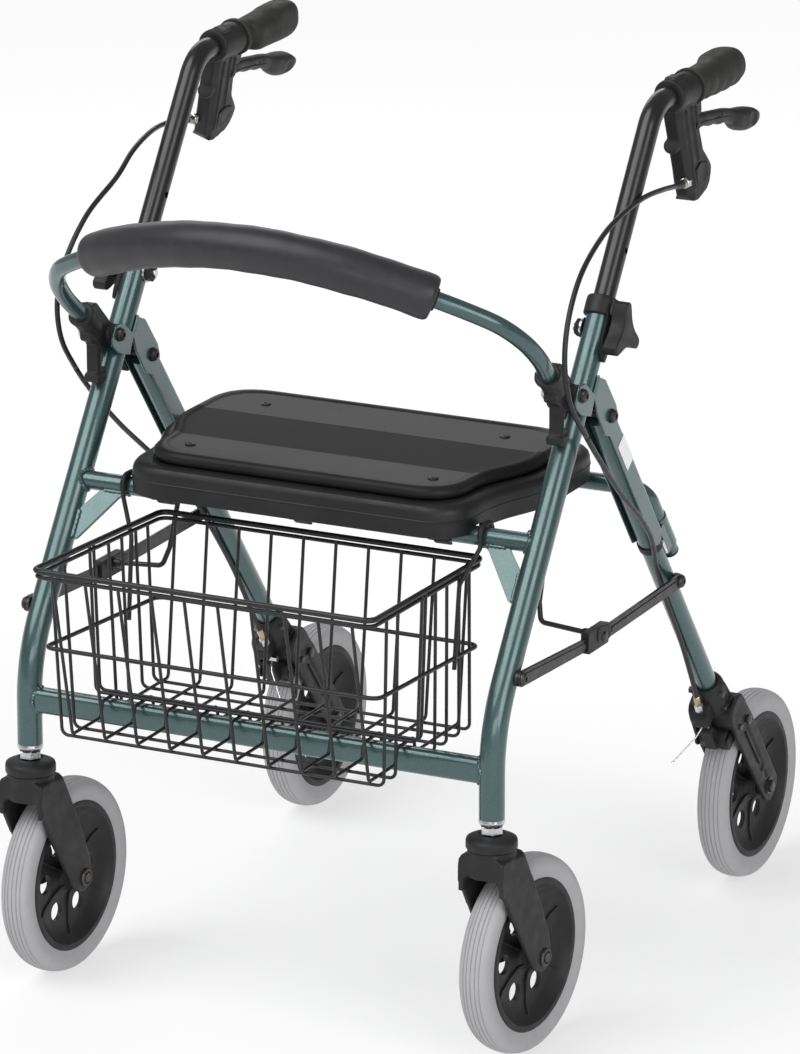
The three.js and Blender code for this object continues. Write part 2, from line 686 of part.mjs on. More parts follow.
for (const [label, side] of [['left', 1], ['right', -1]]) {
  const x = side * LEG_X;
  rollator.add(named(`front_leg_${label}`, frontLeg(side), GREEN));
  rollator.add(named(`handle_tube_${label}`, handleTube(side), BLACK_TUBE));
  rollator.add(named(`backrest_bracket_${label}`, backBracket(side), BLACK_PLASTIC));
  rollator.add(named(`front_link_${label}`, frontLink(side), BLACK_WIRE));
  rollator.add(named(`rear_link_${label}`, rearLink(side), BLACK_WIRE));
  rollator.add(named(`lift_rod_${label}`, liftRod(side), BLACK_WIRE));
  rollator.add(named(`brake_cable_${label}`, brakeCable(label, side), CABLE_BLACK));

  const leg = placed(rollator, x, SWIVEL_Y, KNEE_Z, -FRONT_LEAN);
  leg.add(named(`hinge_bracket_${label}`, hingeBracket(), GREEN));
  placed(leg, 0, 0, LEG_TOP).add(named(`receiver_collar_${label}`, collar(), BLACK_PLASTIC));
  placed(leg, 0, 0, LEG_TOP - 28).add(named(`height_knob_${label}`, heightKnob(side), BLACK_PLASTIC));
  placed(leg, 0, HINGE.y, HINGE.z).add(named(`leg_pivot_bolt_${label}`, doubleBolt(CHEEK[1] + GAP), STEEL));
  placed(leg, 0, LUG.y, LUG.z).add(named(`backrest_bolt_${label}`, doubleBolt(CHEEK[1] + GAP), STEEL));

  const handle = placed(rollator, x, 0, 0);
  placed(handle, 0, 0, GRIP_Z).add(named(`grip_${label}`, grip(), GRIP_RUBBER));
  const rolled = placed(handle, 0, 0, GRIP_Z);
  rolled.rotation.y = BRAKE_ROLL[label];
  const brake = placed(rolled, 0, 0, -GRIP_Z);
  brake.add(named(`brake_housing_${label}`, brakeHousing(), BLACK_PLASTIC));
  brake.add(named(`brake_lever_${label}`, brakeLever(), BLACK_PLASTIC));

  const rearLeg = placed(rollator, x, REAR_AXLE_Y, WHEEL_R, REAR_LEAN);
  rearLeg.add(named(`rear_leg_channel_${label}`, rearChannel(), GREEN));
  rearLeg.add(named(`rear_leg_tube_${label}`, rearTube(), GREEN));
  rearLeg.add(named(`rear_fork_${label}`, rearFork(), BLACK_PLASTIC));
  rearLeg.add(named(`brake_arm_${label}`, brakeArm(), BLACK_PLASTIC));
  const rearWheel = placed(rollator, x, REAR_AXLE_Y, WHEEL_R);
  rearWheel.add(named(`rear_axle_${label}`, doubleBolt(25.3), STEEL));
  rearWheel.add(named(`rear_tyre_${label}`, tyre(), TYRE_GREY));
  rearWheel.add(named(`rear_rim_${label}`, rim(), BLACK_PLASTIC));

  const caster = placed(rollator, x, SWIVEL_Y, 0);
  caster.rotation.z = CASTER_TURN[label];
  caster.add(named(`front_fork_${label}`, frontFork(), BLACK_PLASTIC));
  const frontWheel = placed(caster, 0, TRAIL, WHEEL_R);
  frontWheel.add(named(`front_axle_${label}`, doubleBolt(25.8), STEEL));
  frontWheel.add(named(`front_tyre_${label}`, tyre(), TYRE_GREY));
  frontWheel.add(named(`front_rim_${label}`, rim(), BLACK_PLASTIC));
}

export default rollator;
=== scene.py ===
"""Rollator walker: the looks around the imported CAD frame.

Sizes are in millimetres in the walker's own layout: +Z up, the front faces -Y, x = 0 is the middle, y = 0
lies between the legs and z = 0 is the floor. to_frame() turns them into the frame's metres.
"""

import json
import math

import bmesh
import bpy
from mathutils import Matrix, Vector

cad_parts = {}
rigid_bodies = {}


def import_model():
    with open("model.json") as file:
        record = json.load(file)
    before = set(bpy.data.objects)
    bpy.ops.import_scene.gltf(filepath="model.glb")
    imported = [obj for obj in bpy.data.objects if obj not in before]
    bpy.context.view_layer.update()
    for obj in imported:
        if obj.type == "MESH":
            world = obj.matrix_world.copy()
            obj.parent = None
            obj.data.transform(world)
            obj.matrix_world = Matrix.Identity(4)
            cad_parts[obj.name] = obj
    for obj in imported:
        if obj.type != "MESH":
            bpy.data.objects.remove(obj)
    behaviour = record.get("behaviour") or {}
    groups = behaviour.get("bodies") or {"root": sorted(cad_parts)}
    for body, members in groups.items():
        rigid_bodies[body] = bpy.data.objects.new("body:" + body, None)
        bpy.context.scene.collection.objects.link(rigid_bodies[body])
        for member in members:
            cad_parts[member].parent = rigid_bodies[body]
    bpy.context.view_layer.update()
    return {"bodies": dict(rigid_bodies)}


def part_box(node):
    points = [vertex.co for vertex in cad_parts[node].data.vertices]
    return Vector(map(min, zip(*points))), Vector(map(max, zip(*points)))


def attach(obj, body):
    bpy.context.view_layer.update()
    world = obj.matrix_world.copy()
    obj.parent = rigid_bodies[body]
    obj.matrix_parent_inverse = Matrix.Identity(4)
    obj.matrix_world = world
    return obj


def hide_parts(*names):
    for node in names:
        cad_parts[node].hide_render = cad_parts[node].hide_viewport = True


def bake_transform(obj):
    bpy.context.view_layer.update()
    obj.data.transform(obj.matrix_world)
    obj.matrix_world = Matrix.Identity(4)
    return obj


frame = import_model()

# ---- driving dimensions ----

LEG_X = 255
LEG_R = 12.7
LEG_FOOT_Z = 251
LEG_TOP_Z = 712
KNEE_Z = 347
KNEE_BEND = 150
SWIVEL_Y = -348
FRONT_LEAN = math.radians(34.1)
LEG_LENGTH = (LEG_TOP_Z - KNEE_Z) / math.cos(FRONT_LEAN)

WHEEL_R = 100
TYRE_HALF = 17
RIM_R = 77
RIM_HOLES = 6
TRAIL = 60
REAR_AXLE_Y = 276

PIVOT_Y = -112
PIVOT_Z = 602
REAR_RUN = REAR_AXLE_Y - PIVOT_Y
REAR_DROP = PIVOT_Z - WHEEL_R
REAR_LEAN = math.atan2(REAR_RUN, REAR_DROP)
REAR_LENGTH = math.hypot(REAR_RUN, REAR_DROP)
REAR_TUBE_R = 11.1
CHANNEL_HALF = 12.9
CHANNEL_END = 424
CROSS_X = 257.5
CROSS_Y = -1.5
CROSS_Z = 497
CROSS_R = 9
CROSS_BEND = 24
CROSS_ARM = 104

BAR_Y = -242
BAR_Z = 504
BAR_R = 9.5
LOW_BAR_Z = 304
LOW_BAR_DEEP = 18
LOW_BAR_HIGH = 25
LOW_BAR_ROUND = 6

HANDLE_R = 11
HANDLE_LOW_Z = 640
HANDLE_BEND = 45
HANDLE_HOLE_Z = 758
GRIP_Z = 886
GRIP_START = 98.5
GRIP_END = 216

BACK_BAR_R = 8.5
BACK_PAD_R = 22.5
BACK_PAD_HALF = 184
BACK_RISE = 197
BACK_SAG = 57
BACK_SAG_X = 182
BACK_TILT = math.radians(42)
SOCKET_Y = -229
SOCKET_Z = 670

PAD_BAND = (-197, -104)

BRACE_FRONT = (-318, 392)
BRACE_MID = (-137, 383)
BRACE_REAR = (54.8, 386)
BRACE_X = (270.3, 273.3)

SIDES = (("left", 1), ("right", -1))
AXLE_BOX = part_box("rear_axle_left")
ORIGIN_X = LEG_X - 500 * sum(corner.x for corner in AXLE_BOX)
ORIGIN_Y = REAR_AXLE_Y - 500 * sum(corner.y for corner in AXLE_BOX)


def to_frame(point):
    """A point of the walker's layout, in the frame's metres."""
    return Vector((point[0] - ORIGIN_X, point[1] - ORIGIN_Y, point[2])) / 1000


# ---- shapes: a shape is (points, faces), in millimetres ----


def circle(radius, sides=32):
    turn = 2 * math.pi / sides
    return [(radius * math.cos(i * turn), radius * math.sin(i * turn)) for i in range(sides)]


def arc(cx, cy, radius, start, end, steps=8):
    """Points on an arc, angles in degrees."""
    angles = [math.radians(start + (end - start) * i / steps) for i in range(steps + 1)]
    return [(cx + radius * math.cos(a), cy + radius * math.sin(a)) for a in angles]


def rounded_box(width, height, radius, steps):
    w, h = width / 2 - radius, height / 2 - radius
    return (
        arc(w, h, radius, 0, 90, steps) + arc(-w, h, radius, 90, 180, steps)
        + arc(-w, -h, radius, 180, 270, steps) + arc(w, -h, radius, 270, 360, steps)
    )


def rounded(corners, radius, steps=5):
    """A closed outline with its corners rounded. A corner can carry its own radius as a third value."""
    points = []
    for i, corner in enumerate(corners):
        here = Vector(corner[:2])
        before = Vector(corners[i - 1][:2]) - here
        after = Vector(corners[(i + 1) % len(corners)][:2]) - here
        own = corner[2] if len(corner) > 2 else radius
        half = before.angle(after) / 2
        reach = min(own / math.tan(half), before.length * 0.48, after.length * 0.48)
        start = here + before.normalized() * reach
        end = here + after.normalized() * reach
        for k in range(steps + 1):
            t = k / steps
            points.append(tuple((1 - t) ** 2 * start + 2 * t * (1 - t) * here + t * t * end))
    return points


def belt(a, b, steps=10):
    """The outline of a belt round two circles, each (y, z, radius)."""
    dy, dz = b[0] - a[0], b[1] - a[1]
    side = math.degrees(math.acos((a[2] - b[2]) / math.hypot(dy, dz)))
    heading = math.degrees(math.atan2(dz, dy))
    return (
        arc(a[0], a[1], a[2], heading + side, heading + 360 - side, steps)
        + arc(b[0], b[1], b[2], heading - side, heading + side, steps)
    )


def skin(rings, loop=False):
    """A surface over rings of points. Its ends are capped, or joined to each other in a loop."""
    count = len(rings[0])
    points = [Vector(p) for ring in rings for p in ring]
    faces = []
    for i in range(len(rings) if loop else len(rings) - 1):
        a = i * count
        b = (i + 1) % len(rings) * count
        faces += [(a + k, a + (k + 1) % count, b + (k + 1) % count, b + k) for k in range(count)]
    if not loop:
        faces.append(tuple(reversed(range(count))))
        faces.append(tuple(range(len(points) - count, len(points))))
    return points, faces


def sweep(path, section, loop=False, up=(0, 0, 1), scale=None):
    """A section carried along a path. scale, where given, is its size at each point."""
    path = [Vector(p) for p in path]
    count = len(path)
    rings = []
    normal = Vector(up)
    for i, point in enumerate(path):
        after = path[(i + 1) % count] if loop or i < count - 1 else point
        before = path[i - 1] if loop or i > 0 else point
        tangent = ((after - point).normalized() + (point - before).normalized()).normalized()
        if abs(normal.dot(tangent)) > 0.95 and i == 0:
            normal = Vector((1, 0, 0)) if abs(tangent.x) < 0.8 else Vector((0, 1, 0))
        normal = (normal - tangent * normal.dot(tangent)).normalized()
        side = tangent.cross(normal)
        size = scale[i] if scale else 1
        rings.append([point + (normal * u + side * v) * size for u, v in section])
    return skin(rings, loop=loop)


def rod(start, end, radius, sides=24):
    return sweep([start, end], circle(radius, sides))


def stepped(start, way, profile, sides, **options):
    """A turned shape on a line from start along way. The profile holds (distance, radius) pairs."""
    return sweep([start + way * d for d, _ in profile], circle(1, sides), scale=[r for _, r in profile],
                 **options)


def route(corners, radius, steps=8):
    """A path with round corners."""
    corners = [Vector(c) for c in corners]
    points = [corners[0]]
    for i in range(1, len(corners) - 1):
        before = (corners[i] - corners[i - 1]).normalized()
        after = (corners[i + 1] - corners[i]).normalized()
        turn = before.angle(after)
        inward = (after - before * before.dot(after)).normalized()
        start = corners[i] - before * radius * math.tan(turn / 2)
        centre = start + inward * radius
        for k in range(steps + 1):
            a = turn * k / steps
            points.append(centre - inward * radius * math.cos(a) + before * radius * math.sin(a))
    return points + [corners[-1]]


def spline(points, steps=8):
    """A smooth path through the points."""
    points = [Vector(p) for p in points]
    ends = [points[0] * 2 - points[1], *points, points[-1] * 2 - points[-2]]
    path = []
    for i in range(1, len(ends) - 2):
        p = ends[i - 1:i + 3]
        knots = [0.0]
        for k in range(3):
            knots.append(knots[-1] + max((p[k + 1] - p[k]).length, 1e-6) ** 0.5)
        for k in range(steps):
            t = knots[1] + (knots[2] - knots[1]) * k / steps
            low = [mix(p[j], p[j + 1], knots[j], knots[j + 1], t) for j in range(3)]
            mid = [mix(low[j], low[j + 1], knots[j], knots[j + 2], t) for j in range(2)]
            path.append(mix(mid[0], mid[1], knots[1], knots[2], t))
    return path + [points[-1]]


def mix(a, b, start, end, t):
    return a * ((end - t) / (end - start)) + b * ((t - start) / (end - start))


def lathe(profile, axis="z", at=(0, 0, 0), sides=32, loop=False):
    """A turned shape. The profile holds (radius, distance along the axis) pairs."""
    rings = []
    for radius, along in profile:
        ring = []
        for u, v in circle(radius, sides):
            ring.append({"x": (along, u, v), "y": (u, along, v), "z": (u, v, along)}[axis])
        rings.append([Vector(p) + Vector(at) for p in ring])
    return skin(rings, loop=loop)


def bolt(profile, y, z, sides, facing=1, face=0):
    """A shape turned about an axis along x. Its profile is measured out from a face."""
    return lathe([(r, face + x * facing) for r, x in profile], "x", (0, y, z), sides)


def plate(outline, x0, x1):
    """A flat plate with its outline in the YZ plane."""
    return skin([[(x, y, z) for y, z in outline] for x in (x0, x1)])


def slab(outline, y0, y1):
    """A flat plate with its outline in the XZ plane."""
    return skin([[(x, y, z) for x, z in outline] for y in (y0, y1)])


def block(x0, x1, y0, y1, z0, z1):
    return plate([(y0, z0), (y1, z0), (y1, z1), (y0, z1)], x0, x1)


def moved(shape, matrix):
    return [matrix @ p for p in shape[0]], shape[1]


def on(matrix, *shapes):
    return [moved(shape, matrix) for shape in shapes]


# From the left legs' own axes to the layout: the front leg's start at its knee, the rear leg's at its axle.
LEG = Matrix.Translation((LEG_X, SWIVEL_Y, KNEE_Z)) @ Matrix.Rotation(-FRONT_LEAN, 4, "X")
REAR = Matrix.Translation((LEG_X, REAR_AXLE_Y, WHEEL_R)) @ Matrix.Rotation(REAR_LEAN, 4, "X")
SWIVEL = Matrix.Translation((LEG_X, SWIVEL_Y, 0))
GRIP_AXIS = Matrix.Translation((LEG_X, 0, GRIP_Z))
# The right brake is turned round its grip and both casters have swung a little. Each is given by side, as it
# stands before mirroring.
BRAKE_TURN = Matrix.Rotation(math.radians(-19), 4, "Y")
BRAKE = {1: Matrix.Identity(4), -1: GRIP_AXIS @ BRAKE_TURN @ GRIP_AXIS.inverted()}
CASTER = {side: SWIVEL @ Matrix.Rotation(math.radians(turn), 4, "Z") for side, turn in ((1, -5.7), (-1, 3))}
HINGE = LEG.inverted() @ Vector((LEG_X, PIVOT_Y, PIVOT_Z))
LUG = Vector((0, -26, 336))


# ---- pieces ----


def mesh_of(shapes, side=1):
    points, faces = [], []
    for shape_points, shape_faces in shapes:
        base = len(points)
        points += [to_frame((p[0] * side, p[1], p[2])) for p in shape_points]
        faces += [[i + base for i in face] for face in shape_faces]
    mesh = bpy.data.meshes.new("shape")
    mesh.from_pydata(points, [], faces)
    work = bmesh.new()
    work.from_mesh(mesh)
    bmesh.ops.recalc_face_normals(work, faces=work.faces)
    work.to_mesh(mesh)
    work.free()
    return mesh


def add_object(name, mesh):
    obj = bpy.data.objects.new(name, mesh)
    bpy.context.scene.collection.objects.link(obj)
    return obj


def apply_modifiers(obj):
    graph = bpy.context.evaluated_depsgraph_get()
    final = bpy.data.meshes.new_from_object(obj.evaluated_get(graph))
    obj.modifiers.clear()
    obj.data = final


def carve(obj, cutters, side):
    """Cuts each shape out of the object."""
    tool = add_object("cutter", mesh_of(cutters, side))
    cut = obj.modifiers.new("cut", "BOOLEAN")
    cut.operation = "DIFFERENCE"
    cut.solver = "EXACT"
    cut.use_self = True
    cut.object = tool
    apply_modifiers(obj)
    bpy.data.objects.remove(tool)


def mould(obj, voxel, rounds):
    """Melts overlapping shapes into one skin with soft edges."""
    remesh = obj.modifiers.new("melt", "REMESH")
    remesh.mode = "VOXEL"
    remesh.voxel_size = voxel / 1000
    soften = obj.modifiers.new("soften", "SMOOTH")
    soften.factor = 0.5
    soften.iterations = rounds
    apply_modifiers(obj)


def bevel_edges(obj, width, segments):
    bevel = obj.modifiers.new("bevel", "BEVEL")
    bevel.width = width / 1000
    bevel.segments = segments
    bevel.limit_method = "ANGLE"
    bevel.angle_limit = math.radians(38)
    bevel.use_clamp_overlap = True
    weigh = obj.modifiers.new("weigh", "WEIGHTED_NORMAL")
    weigh.keep_sharp = True
    apply_modifiers(obj)


def piece(name, body, look, shapes, replaces=(), side=1, bevel=0, segments=2, voxel=0, rounds=4,
          cutters=(), crease=32):
    """One visible piece: its mesh, its finish, the body that it rides on and the CAD nodes it stands for."""
    material, slot = look
    obj = add_object(name, mesh_of(shapes, side))
    if cutters:
        carve(obj, cutters, side)
    if voxel:
        mould(obj, voxel, rounds)
    obj.data.shade_smooth()
    if not voxel:
        obj.data.set_sharp_from_angle(angle=math.radians(crease))
    if bevel:
        obj.data.set_sharp_from_angle(angle=math.radians(179))
        bevel_edges(obj, bevel, segments)
    obj.data.materials.clear()
    obj.data.materials.append(material)
    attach(obj, body)
    if replaces:
        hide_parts(*replaces)
    return obj


def pair(name, body, look, shapes, replaces=(), stance=None, cutters=(), **options):
    """A left piece and its mirror image on the right. stance places each of the two before mirroring."""
    for label, side in SIDES:
        own = f"{body}_{label}" if f"{body}_{label}" in frame["bodies"] else body
        nodes = [f"{node}_{label}" for node in replaces]
        place = stance[side] if stance else Matrix.Identity(4)
        piece(f"{name}_{label}", own, look, on(place, *shapes), nodes, side=side,
              cutters=on(place, *cutters), **options)


# ---- materials ----


class Finish:
    """A procedural material under construction."""

    def __init__(self, name, color, roughness, metallic=0.0, coat=0.0, coat_roughness=0.1, specular=0.5):
        self.material = bpy.data.materials.new(name)
        self.material.use_nodes = True
        self.tree = self.material.node_tree
        self.shader = self.tree.nodes["Principled BSDF"]
        self.color = color
        self.shader.inputs["Base Color"].default_value = (*color, 1)
        self.shader.inputs["Roughness"].default_value = roughness
        self.shader.inputs["Metallic"].default_value = metallic
        self.shader.inputs["Coat Weight"].default_value = coat
        self.shader.inputs["Coat Roughness"].default_value = coat_roughness
        self.shader.inputs["Specular IOR Level"].default_value = specular
        self.place = self.node("ShaderNodeTexCoord").outputs["Object"]
        self.bump_end = None

    def node(self, kind, **values):
        node = self.tree.nodes.new(kind)
        for key, value in values.items():
            setattr(node, key, value)
        return node

    def wire(self, source, target):
        self.tree.links.new(source, target)

    def noise(self, scale, detail):
        node = self.node("ShaderNodeTexNoise")
        node.inputs["Scale"].default_value = scale
        node.inputs["Detail"].default_value = detail
        self.wire(self.place, node.inputs["Vector"])
        return node.outputs["Fac"]

    def cells(self, scale):
        node = self.node("ShaderNodeTexVoronoi")
        node.inputs["Scale"].default_value = scale
        self.wire(self.place, node.inputs["Vector"])
        return node

    def between(self, source, low, high, start=0.3, end=0.7):
        """The source, spread from low to high."""
        node = self.node("ShaderNodeMapRange")
        node.inputs["From Min"].default_value = start
        node.inputs["From Max"].default_value = end
        node.inputs["To Min"].default_value = low
        node.inputs["To Max"].default_value = high
        self.wire(source, node.inputs["Value"])
        return node.outputs["Result"]

    def tint(self, factor, other):
        """Blends the base colour towards another one."""
        node = self.node("ShaderNodeMix", data_type="RGBA")
        self.wire(factor, node.inputs["Factor"])
        base = self.shader.inputs["Base Color"]
        if base.links:
            self.wire(base.links[0].from_socket, node.inputs["A"])
        else:
            node.inputs["A"].default_value = base.default_value
        node.inputs["B"].default_value = (*other, 1)
        self.wire(node.outputs["Result"], base)

    def rough(self, source):
        self.wire(source, self.shader.inputs["Roughness"])

    def relief(self, source, depth_mm, strength=1.0):
        """Adds a bump of this depth to the ones before it."""
        node = self.node("ShaderNodeBump")
        node.inputs["Distance"].default_value = depth_mm / 1000
        node.inputs["Strength"].default_value = strength
        self.wire(source, node.inputs["Height"])
        if self.bump_end:
            self.wire(self.bump_end, node.inputs["Normal"])
        self.bump_end = node.outputs["Normal"]
        self.wire(self.bump_end, self.shader.inputs["Normal"])

    def edge_wear(self, color, amount):
        """Lightens the edges, where a hand or a doorway rubs."""
        soft = self.node("ShaderNodeBevel", samples=4)
        soft.inputs["Radius"].default_value = 0.0008
        plain = self.node("ShaderNodeNewGeometry")
        dot = self.node("ShaderNodeVectorMath", operation="DOT_PRODUCT")
        self.wire(soft.outputs["Normal"], dot.inputs[0])
        self.wire(plain.outputs["Normal"], dot.inputs[1])
        edge = self.between(dot.outputs["Value"], amount, 0, 0.75, 0.98)
        spots = self.between(self.noise(60, 4), 0.2, 1, 0.4, 0.6)
        both = self.node("ShaderNodeMath", operation="MULTIPLY")
        self.wire(edge, both.inputs[0])
        self.wire(spots, both.inputs[1])
        self.tint(both.outputs["Value"], color)


def finish(name, color, roughness, tints=(), rough=None, reliefs=(), wear=None, **options):
    """A whole material. tints: (scale, detail, amount, colour); rough: (scale, detail, low, high); reliefs:
    (scale, detail, depth in mm, strength), where a detail of None means grains instead of clouds."""
    f = Finish(name, color, roughness, **options)
    for scale, detail, amount, other in tints:
        f.tint(f.between(f.noise(scale, detail), 0, amount), other)
    if wear:
        f.edge_wear(*wear)
    if rough:
        f.rough(f.between(f.noise(*rough[:2]), *rough[2:]))
    for scale, detail, depth, strength in reliefs:
        source = f.cells(scale).outputs["Distance"] if detail is None else f.noise(scale, detail)
        f.relief(source, depth, strength)
    return f


def green_paint():
    f = Finish("green_paint", (0.034, 0.073, 0.075), 0.28, metallic=0.55, coat=0.6, coat_roughness=0.08)
    flakes = f.cells(2600)
    f.tint(f.between(flakes.outputs["Color"], 0, 0.5, 0.2, 0.9), (0.13, 0.215, 0.21))
    f.tint(f.between(f.noise(9, 4), 0, 0.35), (0.036, 0.075, 0.076))
    f.rough(f.between(f.noise(30, 4), 0.24, 0.36))
    f.relief(flakes.outputs["Distance"], 0.012, 0.4)
    f.relief(f.noise(180, 2), 0.03, 0.35)
    return f.material


def black_coating():
    f = finish(
        "black_coating", (0.009, 0.009, 0.010), 0.4, coat=0.1, coat_roughness=0.2, specular=0.35,
        tints=[(45, 4, 0.7, (0.016, 0.016, 0.017))], rough=(120, 3, 0.32, 0.5),
        reliefs=[(520, 3, 0.05, 0.5)],
    )
    return f.material


def pad_plastic():
    """Like the shell, with a rougher band across the middle of the pad."""
    f = finish("pad_plastic", (0.010, 0.0097, 0.0095), 0.5, specular=0.16,
               tints=[(16, 5, 0.6, (0.022, 0.0215, 0.0215))])
    split = f.node("ShaderNodeSeparateXYZ")
    f.wire(f.place, split.inputs[0])
    low, high = to_frame((0, PAD_BAND[0], 0)).y, to_frame((0, PAD_BAND[1], 0)).y
    away = f.node("ShaderNodeMath", operation="SUBTRACT")
    away.inputs[1].default_value = (low + high) / 2
    f.wire(split.outputs["Y"], away.inputs[0])
    distance = f.node("ShaderNodeMath", operation="ABSOLUTE")
    f.wire(away.outputs["Value"], distance.inputs[0])
    edge = (high - low) / 2
    band = f.between(distance.outputs["Value"], 1, 0, edge - 0.0006, edge + 0.0006)
    f.tint(band, (0.008, 0.008, 0.0082))
    f.rough(f.between(band, 0.42, 0.6, 0, 1))
    f.relief(band, -0.35, 1.0)
    f.relief(f.cells(900).outputs["Distance"], 0.08, 0.5)
    f.relief(f.noise(60, 4), 0.15, 0.25)
    return f.material


def foam():
    f = finish(
        "foam", (0.017, 0.017, 0.019), 0.5, specular=0.4,
        tints=[(120, 5, 0.5, (0.028, 0.028, 0.031)), (12, 3, 0.35, (0.012, 0.012, 0.0135))],
        rough=(60, 3, 0.36, 0.46), reliefs=[(1100, None, 0.08, 0.5), (35, 3, 0.3, 0.25)],
    )
    f.shader.inputs["Sheen Weight"].default_value = 0.08
    f.shader.inputs["Sheen Roughness"].default_value = 0.5
    return f.material


black_enamel = finish(
    "black_enamel", (0.008, 0.008, 0.009), 0.3, coat=0.25, coat_roughness=0.16, specular=0.4,
    tints=[(14, 4, 0.6, (0.014, 0.0135, 0.013))], rough=(25, 5, 0.24, 0.36), reliefs=[(260, 2, 0.02, 0.35)],
)
moulded_plastic = finish(
    "moulded_plastic", (0.0105, 0.0105, 0.0112), 0.47, specular=0.3, wear=((0.06, 0.06, 0.062), 0.35),
    tints=[(22, 4, 0.6, (0.02, 0.02, 0.021))], rough=(70, 4, 0.42, 0.6),
    reliefs=[(1500, None, 0.05, 0.5), (140, 3, 0.08, 0.3)],
)
seat_plastic = finish(
    "seat_plastic", (0.008, 0.008, 0.0082), 0.42, specular=0.32,
    tints=[(16, 5, 0.6, (0.017, 0.017, 0.0175))], rough=(40, 5, 0.36, 0.52),
    reliefs=[(900, None, 0.08, 0.5), (60, 4, 0.15, 0.25)],
)
grip_rubber = finish(
    "grip_rubber", (0.019, 0.018, 0.0165), 0.6, specular=0.35, tints=[(50, 4, 0.6, (0.028, 0.0265, 0.0245))],
    rough=(90, 3, 0.54, 0.7), reliefs=[(2000, None, 0.06, 0.6)],
)
tyre_rubber = finish(
    "tyre_rubber", (0.35, 0.348, 0.356), 0.6,
    tints=[(11, 5, 0.5, (0.30, 0.30, 0.307)), (90, 4, 0.25, (0.42, 0.42, 0.426))],
    rough=(60, 4, 0.55, 0.75), reliefs=[(700, 2, 0.05, 0.5)],
)
bright_steel = finish(
    "bright_steel", (0.62, 0.63, 0.65), 0.24, metallic=1.0, tints=[(90, 4, 0.5, (0.45, 0.46, 0.49))],
    rough=(400, 3, 0.16, 0.36), reliefs=[(900, 2, 0.02, 0.4)],
)
dark_steel = finish(
    "dark_steel", (0.05, 0.047, 0.045), 0.36, metallic=0.8, tints=[(200, 4, 0.5, (0.12, 0.11, 0.10))],
    rough=(400, 3, 0.28, 0.5), reliefs=[(800, 2, 0.03, 0.4)],
)
brass = finish(
    "brass", (0.55, 0.42, 0.27), 0.3, metallic=1.0, tints=[(300, 4, 0.5, (0.38, 0.3, 0.2))],
    rough=(500, 3, 0.24, 0.42),
)
label_film = finish(
    "label_film", (0.86, 0.87, 0.88), 0.35, tints=[(60, 4, 0.4, (0.76, 0.77, 0.78))],
    reliefs=[(90, 2, 0.05, 0.4)],
)

# a look is a material and the frame's slot that it belongs to
GREEN = (green_paint(), "green_paint")
ENAMEL = (black_enamel.material, "black_tube")
COATING = (black_coating(), "black_wire")
PLASTIC = (moulded_plastic.material, "black_plastic")
SEAT = (seat_plastic.material, "black_plastic")
PAD = (pad_plastic(), "black_plastic")
FOAM = (foam(), "foam")
GRIP = (grip_rubber.material, "grip_rubber")
TYRE = (tyre_rubber.material, "tyre_grey")
STEEL = (bright_steel.material, "bright_steel")
DARK_STEEL = (dark_steel.material, "bright_steel")
BRASS = (brass.material, "bright_steel")
LABEL = (label_film.material, "black_plastic")
JACKET = (black_coating(), "cable_jacket")


# ---- front frame ----


def front_line(z):
    return SWIVEL_Y + (z - KNEE_Z) * math.tan(FRONT_LEAN)


def weld(path, size, loop=False):
    """A bead of overlapping weld ripples along a path."""
    path = [Vector(p) for p in path]
    ripples = [1 + 0.16 * math.sin(i * 2.1) + 0.06 * math.sin(i * 0.7) for i in range(len(path))]
    return sweep(path, circle(size, 10), loop=loop, scale=ripples)


def saddle(radius_y, radius_z, lean, centre, steps=72):
    """The line where a crossbar meets the inside of a leg that leans by lean."""
    points = []
    for i in range(steps):
        a = 2 * math.pi * i / steps
        dy, dz = radius_y * math.cos(a), radius_z * math.sin(a)
        off = dy * math.cos(lean) - dz * math.sin(lean)
        reach = math.sqrt(max(LEG_R ** 2 - off ** 2, 0))
        points.append((LEG_X - reach, centre[0] + dy, centre[1] + dz))
    return points


def straight(start, end, steps=16):
    start, end = Vector(start), Vector(end)
    return [start.lerp(end, i / steps) for i in range(steps + 1)]


